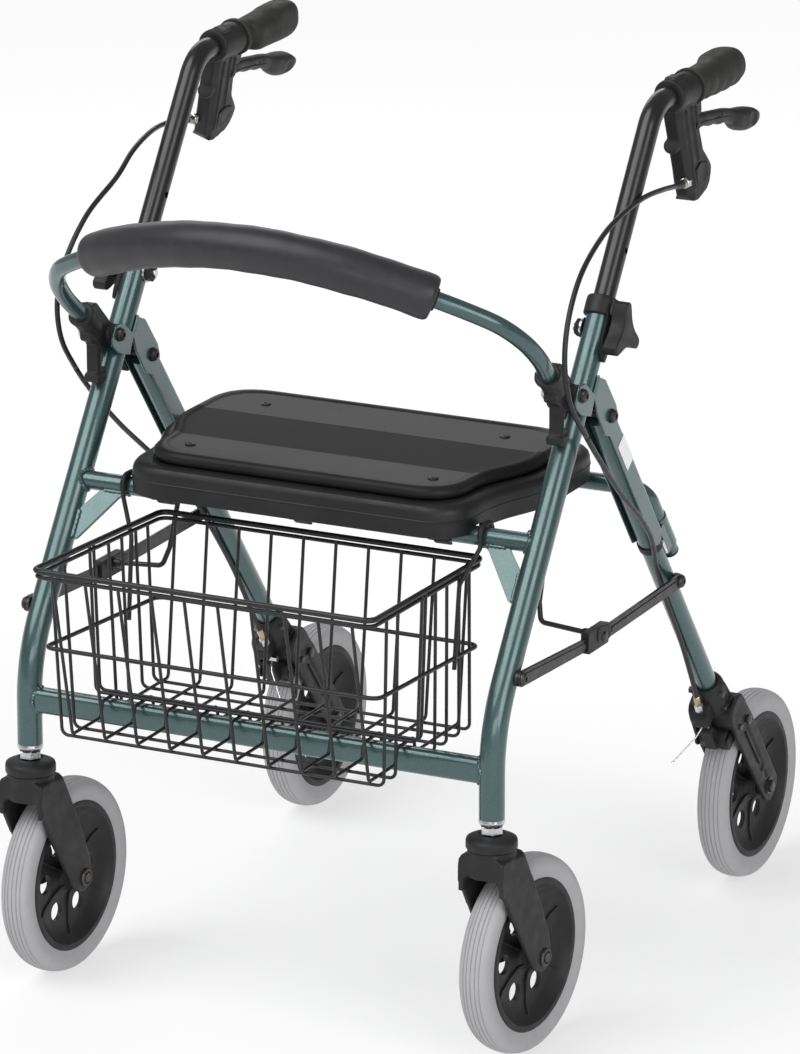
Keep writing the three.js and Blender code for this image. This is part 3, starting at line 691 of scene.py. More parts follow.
def build_front_frame():
    foot = (LEG_X, SWIVEL_Y, LEG_FOOT_Z + 5)
    knee = (LEG_X, SWIVEL_Y, KNEE_Z)
    path = route([foot, knee, (LEG_X, front_line(LEG_TOP_Z), LEG_TOP_Z)], KNEE_BEND, 16)
    leg = sweep(path, circle(LEG_R, 40), up=(1, 0, 0))
    pair("bent_leg", "front_frame", GREEN, [leg], ["front_leg"])
    plug = lathe([(LEG_R - 0.2, 258), (LEG_R + 0.5, 255), (12.4, 252), (10.6, 249.5), (9, 248), (9, 244)],
                 at=(LEG_X, SWIVEL_Y, 0), sides=40)
    nut = lathe([(10.6, 250), (11.6, 249.2), (11.6, 242.6), (10.6, 242)], at=(LEG_X, SWIVEL_Y, 0), sides=6)
    pair("stem_nut", "front_frame", STEEL, [plug, nut], crease=25)

    reach = LEG_X - 6
    bar = sweep([(-reach, BAR_Y, BAR_Z), (reach, BAR_Y, BAR_Z)], circle(BAR_R, 36))
    lean = Matrix.Translation((0, BAR_Y, BAR_Z)) @ Matrix.Rotation(-FRONT_LEAN, 4, "X")
    outline = rounded([(190, -4, 1), (222, -4, 1), (246, -34, 1), (246, -64, 5), (238, -62, 5),
                       (204, -14, 14)], 3)
    gussets = on(lean, *[slab([(x * side, s) for x, s in outline], -2, 2) for side in (1, -1)])
    piece("upper_crossbar_tube", "front_frame", GREEN, [bar], ["upper_crossbar"])
    piece("gussets", "front_frame", GREEN, gussets, bevel=0.7)
    section = rounded_box(LOW_BAR_HIGH, LOW_BAR_DEEP, LOW_BAR_ROUND, 6)
    low = sweep([(-reach, SWIVEL_Y, LOW_BAR_Z), (reach, SWIVEL_Y, LOW_BAR_Z)], section)
    piece("lower_crossbar_tube", "front_frame", GREEN, [low], ["lower_crossbar"])

    beads = [
        weld(saddle(BAR_R + 1, BAR_R + 1, FRONT_LEAN, (BAR_Y, BAR_Z)), 2.1, loop=True),
        weld(saddle(LOW_BAR_DEEP / 2 + 0.6, LOW_BAR_HIGH / 2 + 0.6, 0, (SWIVEL_Y, LOW_BAR_Z)), 2.1,
             loop=True),
    ]
    for face in (-1, 1):
        beads += on(lean, weld(straight((194, 2.4 * face, -9), (221, 2.4 * face, -9)), 1.9),
                    weld(straight((242.5, 3 * face, -33), (242.5, 3 * face, -62)), 1.9))
    pair("frame_welds", "front_frame", GREEN, beads)


def build_hinge_brackets():
    """The folded plate behind each leg that holds the rear leg, and the lug in front for the backrest."""
    cheek = rounded([(3, 366, 1), (18, 369, 3), (57, 357, 6), (68, 349, 9), (71, 340, 9), (69, 327, 9),
                     (50, 322, 9), (18, 334, 4), (3, 345, 1)], 4, 6)
    tab = rounded([(-38, 327, 8), (-37, 342, 8), (-26, 349, 8), (3, 347, 1), (6, 326, 1), (-17, 319, 5),
                   (-33, 320, 8)], 6, 6)
    wall = 2.4
    shapes = [plate(cheek, 13.4 * s, (13.4 + wall) * s) for s in (1, -1)]
    back = []
    for z in (345, 368):
        ring = [(x, y, z) for x, y in arc(0, 0, LEG_R + 0.4, 10, 170, 14)]
        ring += [(x, y, z) for x, y in arc(0, 0, LEG_R + 0.4 + wall, 170, 10, 14)]
        back.append(ring)
    shapes.append(skin(back))
    pair("leg_bracket", "front_frame", GREEN, on(LEG, *shapes), ["hinge_bracket"], bevel=0.7)
    tabs = [plate(tab, 13.5 * s, (13.5 + 2.6) * s) for s in (1, -1)]
    pair("backrest_lug", "front_frame", GREEN, on(LEG, *tabs), bevel=0.7)
    beads = [weld(straight((13.4 * s, 4, 327), (13.4 * s, 4, 345)), 1.5) for s in (1, -1)]
    pair("bracket_welds", "front_frame", GREEN, on(LEG, *beads))


def bolt_head(x, y, z, facing):
    """A domed head with a hollow in its middle, on a face at x."""
    dome = [(6.6, 0), (6.6, 0.8), (6.204, 2.604), (4.752, 3.78), (3.3, 4.2), (2.772, 4.2), (2.64, 1.47)]
    return bolt(dome, y, z, 24, facing, x)


def build_bolts():
    heads = []
    for y, z in ((HINGE.y, HINGE.z), (LUG.y, LUG.z)):
        for facing in (1, -1):
            washer = bolt([(7.4, 16), (7.4, 17)], y, z, 24, facing)
            heads += [washer, bolt_head(17 * facing, y, z, facing)]
    shanks = [bolt([(4, -17), (4, 17)], p.y, p.z, 16) for p in (HINGE, LUG)]
    pair("pivot_bolts", "front_frame", DARK_STEEL, on(LEG, *heads, *shanks),
         ["leg_pivot_bolt", "backrest_bolt"], crease=30)


def build_collar_and_knob():
    top = LEG_LENGTH
    collar = lathe([
        (LEG_R + 0.2, top - 15), (15.4, top - 15), (16.4, top - 14), (16.6, top - 2), (16.2, top + 3),
        (15, top + 4.4), (13, top + 4.6), (11.6, top + 4), (11.4, top - 2), (LEG_R + 0.2, top - 2),
    ], sides=44, loop=True)
    tongue = []
    for z, spread in ((top - 12, 42), (top - 38, 38), (top - 52, 24), (top - 60, 8)):
        tongue.append([(x, y, z) for x, y in
                       arc(0, 0, LEG_R + 0.3, -spread, spread, 10) + arc(0, 0, 17.4, spread, -spread, 10)])
    lip = block(11, 19, -9, 9, top - 14, top + 2)
    pair("collar_ring", "front_frame", PLASTIC, on(LEG, collar, skin(tongue), lip), ["receiver_collar"],
         bevel=0.8)

    hub = LEG @ Matrix.Translation((0, 0, top - 28))
    outline = []
    for i in range(3):
        heading = 120 * i
        outline += arc(24 * math.cos(math.radians(heading)), 24 * math.sin(math.radians(heading)), 7,
                       heading - 52, heading + 52, 8)
        hollow = heading + 60
        outline += arc(50 * math.cos(math.radians(hollow)), 50 * math.sin(math.radians(hollow)), 36,
                       hollow + 204, hollow + 156, 8)
    boss = bolt([(9, 16.6), (9, 20)], 0, 0, 24)
    pair("knob", "knob", PLASTIC, on(hub, plate(outline, 19.5, 35), boss), ["height_knob"], bevel=2.2,
         segments=4)
    stud = bolt([(4.8, 14.8), (5.6, 15.6), (5.6, 19.6)], 0, 0, 24)
    washer = bolt([(10.4, -14.4), (10.6, -13.8), (10.6, -12.2)], 0, 0, 32)
    nut = bolt([(8.2, -20.6), (9.2, -19.8), (9.2, -15), (8.6, -14.4)], 0, 0, 6)
    thread = bolt([(3.6, -23.4), (4, -22.8), (4, -18)], 0, 0, 20)
    pair("knob_bolt", "front_frame", STEEL, on(hub, stud, washer, thread), crease=25)
    pair("knob_nut", "front_frame", PLASTIC, on(hub, nut), bevel=0.5)


# ---- rear frame ----


def channel_ring(z, inset=0.0):
    """One U-shaped section of the rear channel, open to the front."""
    wide, inner, front, back, floor = CHANNEL_HALF - inset, REAR_TUBE_R + 0.3, -11, 13 - inset, 11.4
    outer = [(-wide, front)] + arc(-wide + 5, back - 5, 5, 180, 90, 6) + arc(wide - 5, back - 5, 5, 90, 0, 6)
    outer += [(wide, front), (inner, front)]
    inside = arc(inner - 4, floor - 4, 4, 0, 90, 6) + arc(-inner + 4, floor - 4, 4, 90, 180,
                                                          6) + [(-inner, front)]
    return [(x, y, z) for x, y in outer + inside]


def build_rear_frame():
    top = REAR_LENGTH + 13
    bar = skin([channel_ring(z) for z in (CHANNEL_END, top)])
    trims = [
        plate(rounded([(-30, CHANNEL_END - 5, 1), (30, CHANNEL_END - 5, 1), (30, CHANNEL_END + 12, 1),
                       (13.4, CHANNEL_END + 12, 1), (0, CHANNEL_END - 1, 9), (-13.4, CHANNEL_END + 12, 1),
                       (-30, CHANNEL_END + 12, 1)], 1), -30, 30),
        plate(rounded([(-30, top + 5, 1), (-30, top - 14, 1), (-12, top - 12, 2), (0, top - 0.5, 14),
                       (14, top - 12, 2), (30, top - 14, 1), (30, top + 5, 1)], 1), -30, 30),
    ]
    pair("leg_channel", "rear_frame", GREEN, on(REAR, bar), ["rear_leg_channel"],
         cutters=on(REAR, *trims), bevel=0.5)
    tube = sweep([(0, 0, 150), (0, 0, REAR_LENGTH - 5)], circle(REAR_TUBE_R, 40), up=(1, 0, 0))
    pair("leg_tube", "rear_frame", GREEN, on(REAR, tube), ["rear_leg_tube"])
    lip = lathe([(REAR_TUBE_R, CHANNEL_END - 7), (REAR_TUBE_R + 1.5, CHANNEL_END - 6.4),
                 (REAR_TUBE_R + 1.6, CHANNEL_END + 2), (REAR_TUBE_R, CHANNEL_END + 3)], sides=36)
    pair("channel_bush", "rear_frame", PLASTIC, on(REAR, lip))
    label = skin([[(x, y, z) for x, y in ((4, 13.05), (4, 13.3), (9, 13.3), (12.3, 11.6), (13.2, 8),
                                          (13.2, -6), (12.95, -6), (12.95, 8), (12.1, 11.4), (9, 13.05))]
                  for z in (REAR_LENGTH - 82, REAR_LENGTH - 44)])
    piece("blank_label", "rear_frame", LABEL, on(REAR, label))

    down = Vector((0, math.sin(REAR_LEAN), -math.cos(REAR_LEAN)))
    bend = Vector((CROSS_X, CROSS_Y, CROSS_Z))
    far = bend + down * CROSS_ARM
    corners = [far, bend, Vector((-CROSS_X, bend.y, bend.z)), Vector((-CROSS_X, far.y, far.z))]
    tube = sweep(route(corners, CROSS_BEND, 12), circle(CROSS_R, 36), up=(0, 1, 0))
    piece("cross_tube", "rear_frame", GREEN, [tube], ["rear_cross_tube"])
    saddles = stepped(bend, down, [(46, 9.2), (46.6, 10.3), (91.4, 10.3), (92, 9.2)], 36, up=(1, 0, 0))
    toward = Vector((0, -math.cos(REAR_LEAN), -math.sin(REAR_LEAN)))
    corners = [Vector((x, 0, 0)) + toward * deep for x, deep in ((-11.5, 15), (9, 15), (9, 0), (-11.5, 0))]
    web = skin([[bend + down * d + corner for corner in corners] for d in (50, 88)])
    pair("tube_clamp", "rear_frame", GREEN, [saddles, web], bevel=0.4)
    cap = stepped(far, down, [(-2, 9.2), (0.4, 9.2), (2, 7.6)], 32, up=(1, 0, 0))
    pair("cross_tube_end", "rear_frame", PLASTIC, [cap])


# ---- rear forks and brakes ----

BRAKE_PIN_Y = 8
BRAKE_PIN_Z = 110


def build_rear_forks():
    socket = lathe([(16.4, 128), (17.4, 136), (17.4, 168), (17, 176), (15.4, 181), (13, 183), (11.6, 183),
                    (11.6, 150), (6, 149)], sides=40)
    crown = plate(rounded([(-16, 118, 5), (17, 118, 5), (19, 132, 6), (16, 148, 8), (-15, 148, 8),
                           (-19, 132, 6)], 5),
                  -24.5, 24.5)
    shapes, grooves = [socket, crown], []
    outline = rounded([(-20, 112, 8), (-14, -8, 12), (-7, -18, 9), (13, -18, 9), (20, -10, 9), (20, 108, 10),
                       (15, 150, 12), (-15, 150, 12)], 6, 6)
    for s in (1, -1):
        shapes.append(plate(outline, 20 * s, 25 * s))
        shapes.append(rod((17 * s, -9, 134), (15.5 * s, -6, 174), 2))
        shapes.append(rod((17 * s, 9, 134), (15.5 * s, 6, 174), 2))
        grooves.append(plate(belt((1.5, 34, 5.4), (-1, 104, 6.8)), 23.2 * s, 28 * s))
        grooves.append(plate(belt((3, 15, 2.2), (3, 24, 2.2)), 23 * s, 28 * s))
    pair("fork_body", "rear_frame", PLASTIC, on(REAR, *shapes), ["rear_fork"], voxel=1.2, rounds=3,
         cutters=on(REAR, *grooves))
    ribs = [plate(belt((1.2, 40, 1.1), (-0.6, 98, 1.1)), 22.8 * s, 24.9 * s) for s in (1, -1)]
    pair("fork_ribs", "rear_frame", PLASTIC, on(REAR, *ribs), bevel=0.4)
    spots = [(x, y, z) for x in (17.4, -17.4) for y, z in ((-6, 172), (-8, 152))] + [(25, -8, 118),
                                                                                     (-25, -8, 118)]
    hexes = [bolt([(4, -2), (4, 1.4), (3.2, 2)], y, z, 6, math.copysign(1, x), x) for x, y, z in spots]
    pair("fork_bolts", "rear_frame", DARK_STEEL, on(REAR, *hexes), bevel=0.3)

    axle = [bolt([(4, -25), (4, 25)], REAR_AXLE_Y, WHEEL_R, 16, face=LEG_X)]
    for facing in (1, -1):
        face = LEG_X + 25 * facing
        axle.append(bolt([(9, 0), (9, 1.4)], REAR_AXLE_Y, WHEEL_R, 28, facing, face))
        axle.append(bolt([(6.6, 1.4), (6.6, 4.2), (5.2, 4.9)], REAR_AXLE_Y, WHEEL_R, 6, facing, face))
    pair("rear_axle_bolt", "rear_frame", DARK_STEEL, axle, ["rear_axle"], crease=30)


def build_brakes():
    shoe = plate(rounded([(-27, 99, 3), (-12, 103.4, 2), (12, 103.4, 2), (14, 112, 3), (8, 122, 4),
                          (-24, 124, 5), (-30, 114, 4)], 3, 4), -15.5, 15.5)
    tread = [block(-13.5, 13.5, y, y + 2.6, 102.8, 105) for y in (-11, -5, 1, 7)]
    straps = [plate(belt((BRAKE_PIN_Y, BRAKE_PIN_Z, 6), (-26, 113, 7)), 16 * s, 18.8 * s) for s in (1, -1)]
    pin = bolt([(3.2, -27), (3.2, 27)], BRAKE_PIN_Y, BRAKE_PIN_Z, 16)
    caps = [bolt([(5.4, 26), (5.2, 28.4), (3, 29)], BRAKE_PIN_Y, BRAKE_PIN_Z, 20, s) for s in (1, -1)]
    horn = plate(rounded([(-36, 110, 4), (-24, 106, 4), (-22, 128, 5), (-27, 141, 4), (-34, 138, 4)], 4), -6,
                 6)
    pair("brake_block", "brake_arm", PLASTIC, on(REAR, shoe, *tread, *straps, horn), ["brake_arm"],
         bevel=0.9)
    pair("brake_pin", "brake_arm", DARK_STEEL, on(REAR, pin, *caps), crease=30)

    # the cable ends in a brass ferrule in a moulded tab, and its bare wire runs on to a clamp screw
    tab = plate(rounded([(-38, 150, 4), (-14, 146, 2), (-14, 168, 2), (-34, 162, 5)], 3), -7, 7)
    pair("cable_stop", "rear_frame", PLASTIC, on(REAR, tab), bevel=1.2)
    end = Vector(CABLE_LOW[-1])
    way = (end - Vector(CABLE_LOW[-2])).normalized()
    ferrule = stepped(end, way, [(-10, 3), (-9.4, 3.6), (3, 3.6), (4, 3)], 20)
    pair("cable_ferrule", "rear_frame", BRASS, [ferrule])
    barrel = stepped(end, way, [(3.5, 4), (4.4, 4.8), (13, 4.8), (14, 4)], 6)
    wire_end = end + way * 36
    bare = sweep([end + way * 13, wire_end, end + way * 46 + Vector((3, -3, 0))], circle(0.8, 10))
    clamp = rod(wire_end - Vector((7, 0, 0)), wire_end + Vector((7, 0, 0)), 3.4, 6)
    tail = sweep([wire_end, wire_end + Vector((-5, -9, -12)), wire_end + Vector((-23, -24, -36)),
                  wire_end + Vector((-24, -25, -38))], circle(1, 10), scale=[0.8, 0.8, 0.8, 1.5])
    pair("cable_end", "rear_frame", STEEL, [barrel, bare, clamp, tail], crease=25)


# ---- wheels ----


def tyre_profile():
    """Half-round tread with five thin grooves round it."""
    profile = [(RIM_R - 1, -TYRE_HALF + 4), (84, -TYRE_HALF + 1.2), (90, -TYRE_HALF),
               (94.5, -TYRE_HALF + 1.6)]
    crown = []
    for x in [-13.6 + 27.2 * i / 34 for i in range(35)]:
        height = 90.6 + 9.4 * math.sqrt(max(1 - (x / 16.4) ** 2, 0)) ** 0.8
        groove = min(abs(x - g) for g in (-9, -4.5, 0, 4.5, 9))
        crown.append((height - (1.1 if groove < 0.45 else 0), x))
    mirrored = [(r, -x) for r, x in reversed(profile)]
    return profile + crown + mirrored


def rim_profile():
    """A deep dish either side of a thin web, with a lip that holds the tyre and a hub in the middle."""
    outer = [(4.6, 16), (12, 16), (13.5, 15), (15, 8), (19, 4), (28, 2.4), (52, 2.6), (62, 5), (68.5, 11.5),
             (71, 14.2), (75.6, 14.6), (77.6, 13.4), (78.2, 11)]
    return outer + [(r, -x) for r, x in reversed(outer)]


def wheel_shapes(centre):
    rim = lathe(rim_profile(), "x", centre, 96, loop=True)
    spokes = []
    for i in range(RIM_HOLES):
        for s in (1, -1):
            fin = skin([[(centre[0] + x * s, r, w) for x, w in ((1, -1.2), (h, -0.9), (h, 0.9), (1, 1.2))]
                        for r, h in ((12, 11), (20, 6.4), (34, 4.4), (52, 4.4), (64, 7.6))])
            turn = (Matrix.Translation((0, centre[1], centre[2]))
                    @ Matrix.Rotation(2 * math.pi * (i + 0.5) / RIM_HOLES, 4, "X"))
            spokes.append(moved(fin, turn))
    holes = []
    for i in range(RIM_HOLES):
        a = 2 * math.pi * i / RIM_HOLES
        holes.append(lathe([(10, centre[0] - 9), (10, centre[0] + 9)], "x",
                           (0, centre[1] + 40 * math.cos(a), centre[2] + 40 * math.sin(a)), 32))
    return rim, spokes, holes


def build_wheels():
    rear_axle = (LEG_X, REAR_AXLE_Y, WHEEL_R)
    for end, centre, stance in (("front", (0, TRAIL, WHEEL_R), CASTER), ("rear", rear_axle, None)):
        rim, spokes, holes = wheel_shapes(centre)
        tyre = lathe([(r, centre[0] + x) for r, x in tyre_profile()], "x", (0, centre[1], centre[2]), 128,
                     loop=True)
        body = f"{end}_wheel"
        pair(f"{end}_tread", body, TYRE, [tyre], [f"{end}_tyre"], stance=stance, crease=50)
        pair(f"{end}_hub", body, PLASTIC, [rim], [f"{end}_rim"], stance=stance, cutters=holes, bevel=0.5)
        pair(f"{end}_rim_ribs", body, PLASTIC, spokes, stance=stance, bevel=0.3)


# ---- front casters ----


def build_casters():
    cap = lathe([(24.6, 227.4), (25.4, 228.4), (25.4, 235), (24.6, 237.4), (20, 239.6), (14.6, 241.4),
                 (13.4, 241.6), (12.4, 240.6), (9, 240.6)], sides=56)
    pair("caster_cap", "caster", PLASTIC, [cap], stance=CASTER, crease=50)
    neck = lathe([(24.4, 226.8), (23.8, 225.4), (23.4, 216), (24.6, 200)], sides=48)
    arch = (
        arc(-15, 212, 10.5, 180, 90, 8) + arc(15, 212, 10.5, 90, 0, 8) + [(25.5, 184), (20.2, 184)]
        + arc(0, 190, 20.2, 0, 180, 20) + [(-20.2, 184), (-25.5, 184)]
    )
    arms = []
    for s in (1, -1):
        outline = rounded([(-21, 221, 8), (-23, 196, 12), (-2, 159, 30), (19, 126, 30), (38, 95, 12),
                           (49, 87, 8), (62, 86, 10), (72, 98, 10), (71, 116, 14), (56, 152, 30),
                           (34, 196, 16), (21, 219, 8)], 8, 7)
        arms.append(plate(outline, 20.2 * s, 25.4 * s))
    pair("caster_fork", "caster", PLASTIC, [neck, slab(arch, -21, 24), *arms], ["front_fork"], stance=CASTER,
         voxel=1.4, rounds=5)
    caps = [bolt([(4, -25), (4, 25)], TRAIL, WHEEL_R, 16)]
    for facing in (1, -1):
        caps.append(bolt([(9.6, 0), (9.6, 1.5), (8.4, 2.6), (6.6, 2.6), (6, 1.2), (5.2, 1.2), (4.8, 3),
                          (3, 3.2)],
                         TRAIL, WHEEL_R, 28, facing, 25.2 * facing))
    pair("caster_axle_bolt", "caster", DARK_STEEL, caps, ["front_axle"], stance=CASTER, crease=35)


# ---- handles ----

HOUSING_HALF = 11
LEVER_PIVOT = (100, 848)


def oval(y, top, bottom, half, square, sides):
    """One upright ring across the y axis, between squarish and round."""
    middle, reach = (top + bottom) / 2, (top - bottom) / 2
    ring = []
    for u, v in circle(1, sides):
        ring.append((LEG_X + half * math.copysign(abs(u) ** (2 / square), u), y,
                     middle + reach * math.copysign(abs(v) ** (2 / square), v)))
    return ring


def ease(a, b, c, d, t):
    """A value between b and c on the smooth curve through all four."""
    bow = 2 * a - 5 * b + 4 * c - d
    return 0.5 * (2 * b + (c - a) * t + bow * t * t + (3 * b - a - 3 * c + d) * t ** 3)


def through(stations, steps):
    """Smooths a list of stations, each a tuple of numbers with y first."""
    smooth = []
    for i in range(len(stations) - 1):
        before = stations[max(i - 1, 0)]
        after = stations[min(i + 2, len(stations) - 1)]
        here, there = stations[i], stations[i + 1]
        for k in range(steps):
            smooth.append(tuple(ease(*values, k / steps) for values in zip(before, here, there, after)))
    return smooth + [stations[-1]]


def build_handle_tubes():
    path = route([(LEG_X, front_line(HANDLE_LOW_Z), HANDLE_LOW_Z), (LEG_X, front_line(GRIP_Z), GRIP_Z),
                  (LEG_X, GRIP_END - 16, GRIP_Z)], HANDLE_BEND, 20)
    tube = sweep(path, circle(HANDLE_R, 40), up=(1, 0, 0))
    hole_y = front_line(HANDLE_HOLE_Z)
    hole = rod((LEG_X - 20, hole_y, HANDLE_HOLE_Z), (LEG_X + 20, hole_y, HANDLE_HOLE_Z), 3.4)
    pair("bent_handle", "handle", ENAMEL, [tube], ["handle_tube"], cutters=[hole])


def grip_ring(y, up, down, outer, inner, low_square, high_square):
    """One ring of the grip. Its inner side grows from round to a tall flat wing for the palm."""
    ring = []
    for u, v in circle(1, 64):
        square = 2.1 if u > 0 else (high_square if v > 0 else low_square)
        half = outer if u > 0 else inner
        reach = up if v > 0 else down
        under = max(0, u * 0.7 - v * 0.72) ** 2 if 119 < y < 203 else 0
        finger = 1.5 * under * (abs(math.sin((y - 119) / 21 * math.pi)) - 0.5)
        ring.append((LEG_X + (half + finger) * math.copysign(abs(u) ** (2 / square), u), y,
                     GRIP_Z + (reach + finger) * math.copysign(abs(v) ** (2 / square), v)))
    return ring


def build_grips():
    stations = [
        (106, 15.4, 14.6, 14.8, 14.4, 2.1, 2.1), (112, 15, 14.6, 14.6, 14.2, 2.1, 2.1),
        (117, 15, 15, 14.8, 14.6, 2.4, 2.1), (121, 15.2, 16.8, 15, 18.4, 4.2, 2.1),
        (126, 15.6, 18, 15.2, 20, 5, 2.1), (140, 16.4, 18.6, 15.8, 19.6, 4.6, 2.1),
        (154, 17.2, 18.8, 16.4, 19.4, 4.2, 2.2), (162, 18.2, 18.8, 16.8, 19.8, 4, 3.2),
        (168, 19.2, 18.8, 17.2, 20.4, 3.8, 4.2), (185, 20, 18.6, 17.4, 20.6, 3.6, 4.2),
        (197, 20, 17.4, 17, 20.6, 3.4, 3.8), (206, 19, 15, 15.8, 19.2, 3, 3.2),
        (212, 16, 12, 13, 16.4, 2.6, 2.8), (215.3, 11, 8, 9, 11.6, 2.3, 2.4), (GRIP_END, 4, 3, 3.4, 4, 2, 2),
    ]
    rings = [oval(y, GRIP_Z + r, GRIP_Z - r, r, 2.1, 64) for y, r in (
        (GRIP_START, 12), (GRIP_START, 18), (99.4, 19), (103, 19), (104, 18.2), (105, 16))]
    rings += [grip_ring(*station) for station in through(stations, 10)]
    lines = [sweep([(LEG_X + 15.3 * math.cos(a), y, GRIP_Z + 15.4 * math.sin(a))
                    for a in [math.radians(d) for d in range(0, 360, 12)]], circle(0.5, 6), loop=True)
             for y in (108, 110.5)]
    pair("palm_grip", "handle", GRIP, [skin(rings), *lines], ["grip"])


def build_brake_housings():
    ring = lathe([(15.6, 51.5), (17, 53), (17, 96), (15.8, 98)], "y", (LEG_X, 0, GRIP_Z), 40)
    outline = [(53, 884), (55, 862), (66, 834), (78, 803), (88, 777), (95, 771), (105, 770), (127, 777),
               (133, 783), (136, 792), (136.5, 800), (131, 806), (116, 820), (108, 838), (99, 862),
               (97, 884)]
    half = HOUSING_HALF
    body = skin([[(LEG_X + x, y + (back if y < 92 else 0), z) for y, z in rounded(outline, 4, 3)]
                 for x, back in ((-half + 0.6, 9), (-half + 4.6, 0), (half - 4.6, 0), (half - 0.6, 9))])
    ridges, pads = [], []
    for s in (1, -1):
        face = LEG_X + (half - 0.6) * s
        for y0, z0, y1, z1 in ((70, 868, 97, 784), (83, 870, 104, 812), (94, 868, 101, 846)):
            ridges.append(rod((face, y0, z0), (face, y1, z1), 2.2))
        pad = rounded([(99, 784, 3), (118, 787, 3), (126, 795, 3), (124, 806, 3), (106, 809, 3),
                       (95, 803, 3)], 3, 4)
        middle = (110, 797)
        pads.append(skin([[(LEG_X + x * s, middle[0] + (y - middle[0]) * k, middle[1] + (z - middle[1]) * k)
                           for y, z in pad] for x, k in ((9, 1), (11.6, 1), (12.2, 0.94), (12.2, 0.74),
                                                         (11.8, 0.68))]))
    tab = block(LEG_X - 6, LEG_X + 6, 55, 72, GRIP_Z + 15, GRIP_Z + 19)
    tab_end = block(LEG_X - 3.5, LEG_X + 3.5, 70, 84, GRIP_Z + 15, GRIP_Z + 18)
    front = Matrix.Translation((LEG_X - 2, 65, 833)) @ Matrix.Rotation(math.radians(-21), 4, "X")
    disc = moved(lathe([(6.8, -3.4), (8.2, -2.4), (8.2, 3)], "y", (0, 0, 0), 32), front)
    slot = block(LEG_X - 7.8, LEG_X + 7.8, 90, 150, 830, 866)
    hook = plate(rounded([(96, 858), (112, 858), (110, 872), (97, 876)], 4), LEG_X - 10, LEG_X + 10)
    pair("brake_body", "handle", PLASTIC, [ring, body, *ridges, tab, tab_end, disc, hook], ["brake_housing"],
         stance=BRAKE, voxel=1.1, rounds=3, cutters=[slot])
    pair("housing_pads", "handle", PLASTIC, pads, stance=BRAKE, bevel=0.25)
    screws = []
    for s in (1, -1):
        screws.append(bolt([(4.4, -1.5), (4.4, 0.6), (3.6, 1.2), (1.9, 1.2), (1.8, 0.2)], *LEVER_PIVOT, 24,
                           s, LEG_X + half * s))
    pair("lever_pivot", "handle", PLASTIC, screws, stance=BRAKE, crease=30)


def build_levers():
    stations = [
        (93, 853, 842, 6.0), (103, 856, 842, 6.4), (120, 854.5, 840.5, 6.4), (145, 851.5, 837, 6),
        (165, 849, 834, 5.8), (184, 846.5, 831, 6), (199, 843.4, 828, 6.6), (207, 841.4, 822, 8),
        (216, 840, 817, 9.6), (228, 838.4, 814, 10.6), (240, 836.4, 813, 10.8), (252, 833.6, 813.6, 10.2),
        (262, 829.4, 816.6, 8.2), (267, 825.4, 819.6, 5.4), (269, 823, 822, 2.5),
    ]
    rings = []
    for y, top, bottom, half in through(stations, 6):
        finger = 0.6 * math.cos((y - 132) / 26 * 2 * math.pi) if 119 < y < 199 else 0
        rings.append(oval(y, top, bottom + finger, half, 2.8, 44))
    dishes = []
    for s in (1, -1):
        dish = [(28 * math.sin(a), 28 * math.cos(a)) for a in [math.radians(d) for d in range(4, 180, 8)]]
        dishes.append(lathe([(r, LEG_X + (11 + 25.6) * s + h) for r, h in dish], "x", (0, 242, 824.5), 40))
    for y in (162, 172, 182):
        dishes.append(rod((LEG_X - 9, y, 843), (LEG_X + 9, y, 843), 1.2, 12))
    pair("lever_arm", "lever", PLASTIC, [skin(rings)], ["brake_lever"], stance=BRAKE, cutters=dishes,
         crease=30)
    ribs = [sweep([(LEG_X + 6.3 * s, 120, 846), (LEG_X + 6.1 * s, 150, 842.5),
                   (LEG_X + 6.0 * s, 190, 837.5)],
                  circle(0.9, 8)) for s in (1, -1)]
    pair("lever_ribs", "lever", PLASTIC, ribs, stance=BRAKE)


# ---- backrest ----


def back_point(x, reach):
    return Vector((x, SOCKET_Y - reach * math.cos(BACK_TILT), SOCKET_Z + reach * math.sin(BACK_TILT)))


def back_reach(x):
    return BACK_RISE - BACK_SAG * (x / BACK_SAG_X) ** 2


def build_backrest():
    half = [(256, -22), (257, 6), (259, 34), (254, 68), (239, 98), (213, 120)]
    half += [(x, back_reach(x)) for x in (180, 135, 90, 45)]
    points = half + [(0, BACK_RISE)] + [(-x, reach) for x, reach in reversed(half)]
    tube = sweep(spline([back_point(x, reach) for x, reach in points], 8), circle(BACK_BAR_R, 36))
    piece("backrest_bar", "backrest", GREEN, [tube], ["backrest_tube"])

    steps = 60
    path, sizes = [], []
    for i in range(steps + 1):
        x = BACK_PAD_HALF * math.cos(math.pi * i / steps)
        path.append(back_point(x, back_reach(x)))
        edge = BACK_PAD_HALF - abs(x)
        waves = 0.25 * math.sin(x / 13) + 0.2 * math.sin(x / 5.3)
        sizes.append(BACK_PAD_R * (1 - 0.13 * math.exp(-edge / 1.6)) + waves)
    section = [(u, v * 0.97) for u, v in circle(1, 56)]
    ends = []
    for s in (0, -1):
        heading = (path[s] - path[1 if s == 0 else -2]).normalized()
        ends.append((path[s] + heading * 0.4, heading))
    pad = sweep(path, section, scale=sizes)
    foam_pad = piece("foam_sleeve", "backrest", FOAM, [pad], ["backrest_pad"], crease=60)
    plugs = [sweep([end - heading * 6, end + heading * 1.6, end + heading * 2.6], circle(1, 36),
                   scale=[11.5, 11.5, 10.4]) for end, heading in ends]
    piece("backrest_plugs", "backrest", PLASTIC, plugs, bevel=0.3)


